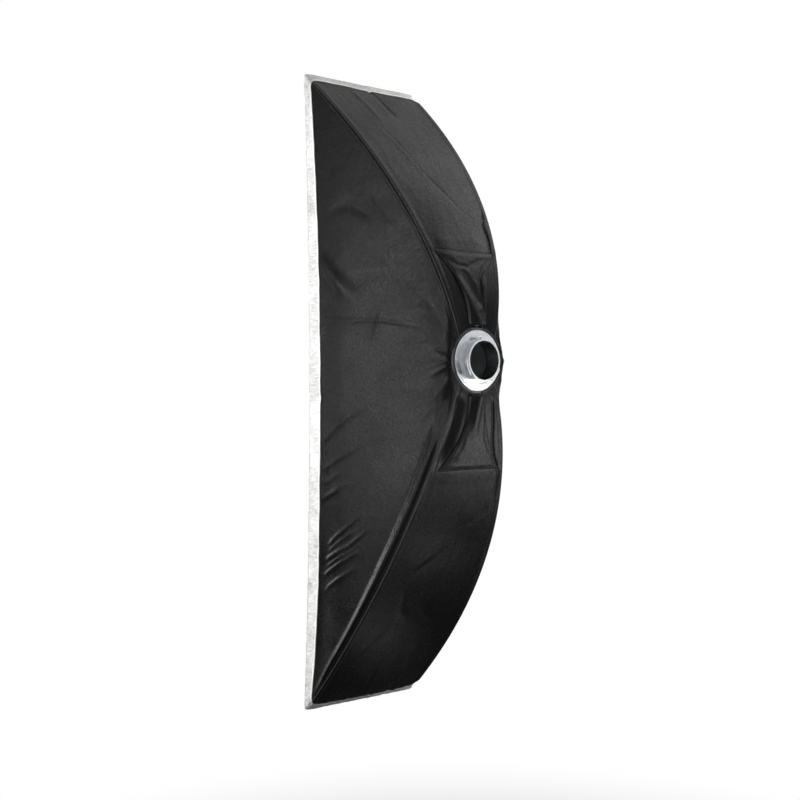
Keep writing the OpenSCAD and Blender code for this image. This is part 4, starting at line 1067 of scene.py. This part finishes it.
strap = dict(wide=14.0, fit=1.5, thick=1.35, hold=24.0, under=2.0, short=0.8, rows=24, cols=7,
             loopR=3.6, loopL=15.0, loopDraw=0.6, loopRings=9, loopSides=12)
strapParts = []
strapY = baffle["y"] + baffle["thick"] / 2 + strap["fit"] / 2
shares = np.linspace(rod["first"], rod["last"], rod["steps"])
for up in (1, -1):
    share = shares[np.abs(rodPoint(up, shares)[:, 1] - strapY).argmin()]
    target, way = rodPoint(up, share), rodWay(up, share)
    start = np.array([baffle["halfW"] - strap["hold"] / 2, strapY,
                      baffle["midZ"] + up * (baffle["halfH"] - strap["hold"] / 2)])
    run = unit(target - start)
    wide = np.array([run[2], 0.0, -run[0]]) * strap["wide"]
    length = np.linalg.norm(target - start) - strap["loopR"] * strap["short"]
    d, k = gridOver((-strap["under"], length, strap["rows"]), (-0.5, 0.5, strap["cols"]))
    points = start + d[..., None] * run + k[..., None] * wide
    k = np.linspace(-0.5, 0.5, strap["loopRings"])
    path = target + (k * strap["loopL"])[:, None] * way
    radius = strap["loopR"] - strap["loopDraw"] * (2 * k) ** 6
    for turn in (1, -1):
        strapParts.append(clothParts(points * [turn, 1, 1], turn, strap["thick"])[:2])
        strapParts.append(tubeParts(path * [turn, 1, 1], radius, strap["loopSides"]))
addTrim("baffleStraps", joinParts(strapParts), "baffle_straps")
print("baffle and straps hung")

# knurled head of the lock screw, the ridges set round it by geometry nodes

knob = dict(axisY=-11.0, shankBase=64.4, shankR=3.0, headBase=79.0, headTop=93.0, headR=9.3, sides=48,
            ridges=30, ridgeR=0.72, ridgeL=11.0, ridgeSides=8)


def makeTree(name, sockets):
    tree = bpy.data.node_groups.new(name, "GeometryNodeTree")
    tree.interface.new_socket("Geometry", in_out="INPUT", socket_type="NodeSocketGeometry")
    for label, kind in sockets.items():
        tree.interface.new_socket(label, in_out="INPUT", socket_type="NodeSocket" + kind)
    tree.interface.new_socket("Geometry", in_out="OUTPUT", socket_type="NodeSocketGeometry")
    return tree, addNode(tree, "NodeGroupInput").outputs


# runs a tree on a piece with its named inputs and leaves a plain mesh
def applyTree(piece, tree, values):
    modifier = piece.modifiers.new(tree.name, "NODES")
    modifier.node_group = tree
    for item in tree.interface.items_tree:
        if item.in_out == "INPUT" and item.name in values:
            modifier[item.identifier] = values[item.name]
    graph = bpy.context.evaluated_depsgraph_get()
    mesh = bpy.data.meshes.new_from_object(piece.evaluated_get(graph))
    piece.modifiers.remove(modifier)
    piece.data = mesh
    return piece


def makeKnurlTree():
    tree, given = makeTree("knurl ridges", {
        "Count": "Int", "Radius": "Float", "Ridge radius": "Float", "Ridge length": "Float",
        "Centre": "Vector", "Finish": "Material"})
    circle = addNode(tree, "GeometryNodeMeshCircle", {"Vertices": given["Count"], "Radius": given["Radius"]})
    ridge = addNode(tree, "GeometryNodeMeshCylinder", {"Vertices": knob["ridgeSides"],
                                                       "Radius": given["Ridge radius"],
                                                       "Depth": given["Ridge length"]})
    spread = addNode(tree, "GeometryNodeInstanceOnPoints", {"Points": circle, "Instance": ridge})
    placed = addNode(tree, "GeometryNodeTransform", {"Geometry": spread, "Translation": given["Centre"]})
    joined = addNode(tree, "GeometryNodeJoinGeometry", {"Geometry": given["Geometry"]})
    setInputs(tree, joined, {"Geometry": placed})
    real = addNode(tree, "GeometryNodeRealizeInstances", {"Geometry": joined})
    finish = addNode(tree, "GeometryNodeSetMaterial", {"Geometry": real, "Material": given["Finish"]})
    addNode(tree, "NodeGroupOutput", {"Geometry": finish})
    return tree


headAt, topAt = knob["headBase"] - knob["shankBase"], knob["headTop"] - knob["shankBase"]
knobProfile = [   # from the shank's tip over the head to the dish in its top
    (0.0, 2.2), (0.8, knob["shankR"]), (headAt, knob["shankR"]), (headAt, 7.6),
    (headAt + 1.0, knob["headR"]), (topAt - 1.4, knob["headR"]), (topAt - 0.3, 8.2), (topAt, 7.6),
    (topAt, 5.2), (topAt - 0.9, 4.6), (topAt - 0.9, 0.4)]
tip = np.array([0.0, knob["axisY"], knob["shankBase"]])
parts = latheParts(tip, np.array([0.0, 0.0, 1.0]), knobProfile, knob["sides"])
lockKnob = makePiece("lockScrewKnob", *parts, [powderCoat])
applyTree(lockKnob, makeKnurlTree(), {
    "Count": knob["ridges"], "Radius": knob["headR"] * mm, "Ridge radius": knob["ridgeR"] * mm,
    "Ridge length": knob["ridgeL"] * mm, "Finish": powderCoat,
    "Centre": (0.0, knob["axisY"] * mm, (knob["headBase"] + knob["headTop"]) / 2 * mm)})
settle(lockKnob, "lock_screw", "black_metal", "lock_screw")
print("lock knob knurled")

# stitches along the seams, spaced by geometry nodes, one object for each body

stitch = dict(pitch=5.5, length=3.8, lift=0.65, frontLine=6.0, flapLine=5.0, hemLine=opening["hemW"] - 4,
              thick=1.0)   # real thread is 0.4 mm, drawn thicker so that it shows


# a line on a sheet at a distance from one of its edges, some points left off at both ends
def lineBeside(grid, turn, edge, distance, first, last):
    lifted = grid + stitch["lift"] * gridNormals(grid, turn)
    if edge.endswith("row"):
        grid, lifted = grid.transpose(1, 0, 2), lifted.transpose(1, 0, 2)
    if edge.startswith("last"):
        grid, lifted = grid[:, ::-1], lifted[:, ::-1]
    gaps = runLength(grid, 1)
    line = [[np.interp(distance, gap, row[:, i]) for i in range(3)] for gap, row in zip(gaps, lifted)]
    return np.array(line[first:len(line) - last])


def makeStitchTree():
    tree, given = makeTree("stitch run", {"Pitch": "Float", "Length": "Float", "Thickness": "Float",
                                          "Thread": "Material"})
    curve = addNode(tree, "GeometryNodeMeshToCurve", {"Mesh": given["Geometry"]})
    even = addNode(tree, "GeometryNodeResampleCurve", {"Curve": curve, "Length": given["Pitch"]},
                   mode="LENGTH")
    tangent = addNode(tree, "GeometryNodeInputTangent")
    turned = addNode(tree, "FunctionNodeAlignRotationToVector", {"Vector": tangent}, axis="Z")
    grain = addNode(tree, "GeometryNodeMeshUVSphere", {"Segments": 6, "Rings": 4, "Radius": 0.5})
    size = addNode(tree, "ShaderNodeCombineXYZ", {"X": given["Thickness"], "Y": given["Thickness"],
                                                  "Z": given["Length"]})
    spread = addNode(tree, "GeometryNodeInstanceOnPoints", {"Points": even, "Instance": grain,
                                                            "Rotation": turned, "Scale": size})
    real = addNode(tree, "GeometryNodeRealizeInstances", {"Geometry": spread})
    rounded = addNode(tree, "GeometryNodeSetShadeSmooth", {"Geometry": real})
    finish = addNode(tree, "GeometryNodeSetMaterial", {"Geometry": rounded, "Material": given["Thread"]})
    addNode(tree, "NodeGroupOutput", {"Geometry": finish})
    return tree


stitchTree = makeStitchTree()


def sew(name, lines, thread, body, slot):
    verts, edges = [], []
    for line in lines:
        edges.extend((len(verts) + i, len(verts) + i + 1) for i in range(len(line) - 1))
        verts.extend((line * mm).tolist())
    mesh = bpy.data.meshes.new(name)
    mesh.from_pydata(verts, edges, [])
    piece = bpy.data.objects.new(name, mesh)
    scene.collection.objects.link(piece)
    applyTree(piece, stitchTree, {"Pitch": stitch["pitch"] * mm, "Length": stitch["length"] * mm,
                                  "Thickness": stitch["thick"] * mm, "Thread": thread})
    return settle(piece, body, slot)


columns = ("first column", "last column")
seamLines = []
for grid, turn, sizes in ((sideGrids[1], -1, sidePanel), (sideGrids[-1], 1, sidePanel),
                          (endGrids[1], 1, endPanel), (endGrids[-1], -1, endPanel)):
    for edge in columns:
        seamLines.append(lineBeside(grid, turn, edge, sizes["stitchLine"], first=6, last=0))
    seamLines.append(lineBeside(grid, turn, "last row", stitch["frontLine"], first=4, last=4))
sew("seamStitches", seamLines, blackThread, "box", "shell_cloth")
for up, name, body in ((1, "upperFlapStitches", "upper_flap"), (-1, "lowerFlapStitches", "lower_flap")):
    flapLines = [lineBeside(flapGrids[up], -up, edge, stitch["flapLine"], first=4, last=4)
                 for edge in (*columns, "last row")]
    sew(name, flapLines, blackThread, body, "shell_cloth")
hemLines = [lineBeside(sheetGrid, -1, edge, stitch["hemLine"], first=10, last=10)
            for edge in (*columns, "first row", "last row")]
sew("diffuserStitches", hemLines, whiteThread, "diffuser", "diffuser_cloth")
print("seams stitched")

# camera, lights, floor and background, all in metres

view = dict(place=(1.857, 2.010, -0.068), turn=(89.51, 0.0, 141.04), lens=53.2, sensor=36.0, reach=60.0)
camera = bpy.data.objects.new("camera", bpy.data.cameras.new("camera"))
camera.data.lens = view["lens"]
camera.data.sensor_width = view["sensor"]
camera.data.clip_end = view["reach"]
camera.location = view["place"]
camera.rotation_euler = [math.radians(a) for a in view["turn"]]
scene.collection.objects.link(camera)
scene.camera = camera

lamps = dict(
    side=dict(place=(2.66, -1.66, 0.05), aim=(0.05, -0.2, -0.02), size=(1.5, 0.7), power=74.0),
    ringSide=dict(place=(3.04, -0.31, 0.45), aim=(0.05, -0.1, 0.0), size=(1.1, 1.2), power=60.0),
    ringBack=dict(place=(2.75, 1.0, 0.2), aim=(-0.25, 0.30, 0.0), size=(1.0, 0.9), power=5.5, spread=32.0),
    lowBack=dict(place=(-0.74, 0.70, -0.50), aim=(0.0, -0.05, -0.22), size=(0.6, 0.65), power=2.8,
                 spread=60.0),
    under=dict(place=(-0.37, 0.27, -1.05), aim=(-0.37, 0.27, 0.0), size=(0.22, 0.5), power=1.7,
               spread=120.0, roll=28.6),
    underFront=dict(place=(-0.14, -0.12, -1.05), aim=(-0.14, -0.12, 0.0), size=(0.16, 0.45), power=0.27,
                    spread=120.0, roll=20.0),
    lowFront=dict(place=(0.62, -2.94, -0.44), aim=(0.18, -0.38, -0.58), size=(1.2, 0.5), power=2.1,
                  spread=60.0),
    farBack=dict(place=(-1.7, 1.0, 1.75), aim=(0.0, -0.1, 0.2), size=(1.4, 0.9), power=13.0),
    sideFar=dict(place=(-2.66, -1.66, 0.05), aim=(-0.05, -0.2, -0.02), size=(1.5, 0.7), power=27.0),
    front=dict(place=(-0.5, -3.1, 0.5), aim=(0.0, -0.45, -0.07), size=(1.8, 1.4), power=15.0),
    rear=dict(place=(-0.5, 2.5, 0.75), aim=(0.0, -0.05, 0.15), size=(1.3, 0.9), power=3.4, spread=60.0),
    overhead=dict(place=(-1.6, 0.30, 1.95), aim=(0.0, -0.2, 0.3), size=(1.8, 1.8), power=34.0))
for name, lamp in lamps.items():
    data = bpy.data.lights.new(name, "AREA")
    data.shape = "RECTANGLE"
    data.size, data.size_y = lamp["size"]
    data.energy = lamp["power"]
    data.spread = math.radians(lamp.get("spread", 180.0))
    light = bpy.data.objects.new(name, data)
    light.location = lamp["place"]
    facing = (Vector(lamp["aim"]) - Vector(lamp["place"])).to_track_quat("-Z", "Y")
    light.rotation_euler = (facing @ Quaternion((0, 0, 1), math.radians(lamp.get("roll", 0.0)))).to_euler()
    light.visible_camera = False
    scene.collection.objects.link(light)


# 1 where the eye meets it straight, in a gloss or through a cloth, 0 where it only lights
def addSeen(tree):
    rays = addNode(tree, "ShaderNodeLightPath").outputs
    seen = addNode(tree, "ShaderNodeMath", {0: rays["Is Camera Ray"], 1: rays["Is Glossy Ray"]},
                   operation="ADD")
    return addNode(tree, "ShaderNodeMath", {0: seen, 1: rays["Is Transmission Ray"]}, operation="ADD",
                   use_clamp=True)


world = bpy.data.worlds.new("white studio")
scene.world = world
world.use_nodes = True
world.node_tree.nodes.clear()
ambient = addNode(world.node_tree, "ShaderNodeBackground", {"Color": hexColour("#ffffff"), "Strength": 0.12})
white = addNode(world.node_tree, "ShaderNodeBackground", {"Color": hexColour("#ffffff"), "Strength": 1.0})
both = addNode(world.node_tree, "ShaderNodeMixShader", {0: addSeen(world.node_tree), 1: ambient, 2: white})
addNode(world.node_tree, "ShaderNodeOutputWorld", {"Surface": both})


# painted studio floor: pale and even, it whitens with distance so that no horizon shows
def makeStudioFloor():
    material, tree, shader = newMaterial("pale painted studio floor")
    setInputs(tree, shader, {"Base Color": hexColour("#a4a4a2"), "Roughness": 0.9})
    where = addNode(tree, "ShaderNodeTexCoord").outputs["Object"]
    flat = addNode(tree, "ShaderNodeVectorMath", {0: where, 1: (1.0, 1.0, 0.0)}, operation="MULTIPLY")
    far = addNode(tree, "ShaderNodeVectorMath", {0: flat}, operation="LENGTH").outputs["Value"]
    share = addNode(tree, "ShaderNodeMapRange", {"Value": far, "From Min": 0.9, "From Max": 2.2,
                                                 "To Min": 0.35, "To Max": 1.0},
                    interpolation_type="SMOOTHSTEP")
    part = addNode(tree, "ShaderNodeMath", {0: addSeen(tree), 1: share}, operation="MULTIPLY")
    glow = addNode(tree, "ShaderNodeEmission", {"Color": hexColour("#ffffff"), "Strength": 1.0})
    blend = addNode(tree, "ShaderNodeMixShader", {0: part, 1: shader, 2: glow})
    setInputs(tree, tree.nodes["Material Output"], {"Surface": blend})
    return material


# dyed felt: dead flat, it throws almost no light back
def makeFelt(name, colour):
    material, tree, shader = newMaterial(name)
    setInputs(tree, shader, {"Base Color": hexColour(colour), "Roughness": 1.0, "Specular IOR Level": 0.0})
    return material


def makeStage(name, spots, material):
    piece = makePiece(name, np.array(spots) / mm, [[0, 1, 2, 3]], [material])
    return piece


ground = dict(level=-1.6, half=9.0)
square = np.array([(-1, -1, 1), (1, -1, 1), (1, 1, 1), (-1, 1, 1)])
makeStage("studioFloor", square * [ground["half"], ground["half"], ground["level"]], makeStudioFloor())

# black cards below and beside the box keep its low parts dark, as in a studio; no view shows them
cards = dict(
    below=dict(colour="#626262", spots=[(-1.2, -1.1, -1.1), (0.85, -1.1, -1.1), (0.85, 0.3, -1.1),
                                        (-1.2, 0.3, -1.1)]),
    beside=dict(colour="#2c2c2c", spots=[(0.72, -2.05, -1.5), (1.75, -1.75, -1.5), (1.75, -1.75, -0.52),
                                         (0.72, -2.05, -0.52)]))
for name, item in cards.items():
    card = makeStage(name + "Card", item["spots"], makeFelt("felt " + name, item["colour"]))
    card.visible_camera = False
    card.visible_shadow = False
print("camera, lamps and floor set")
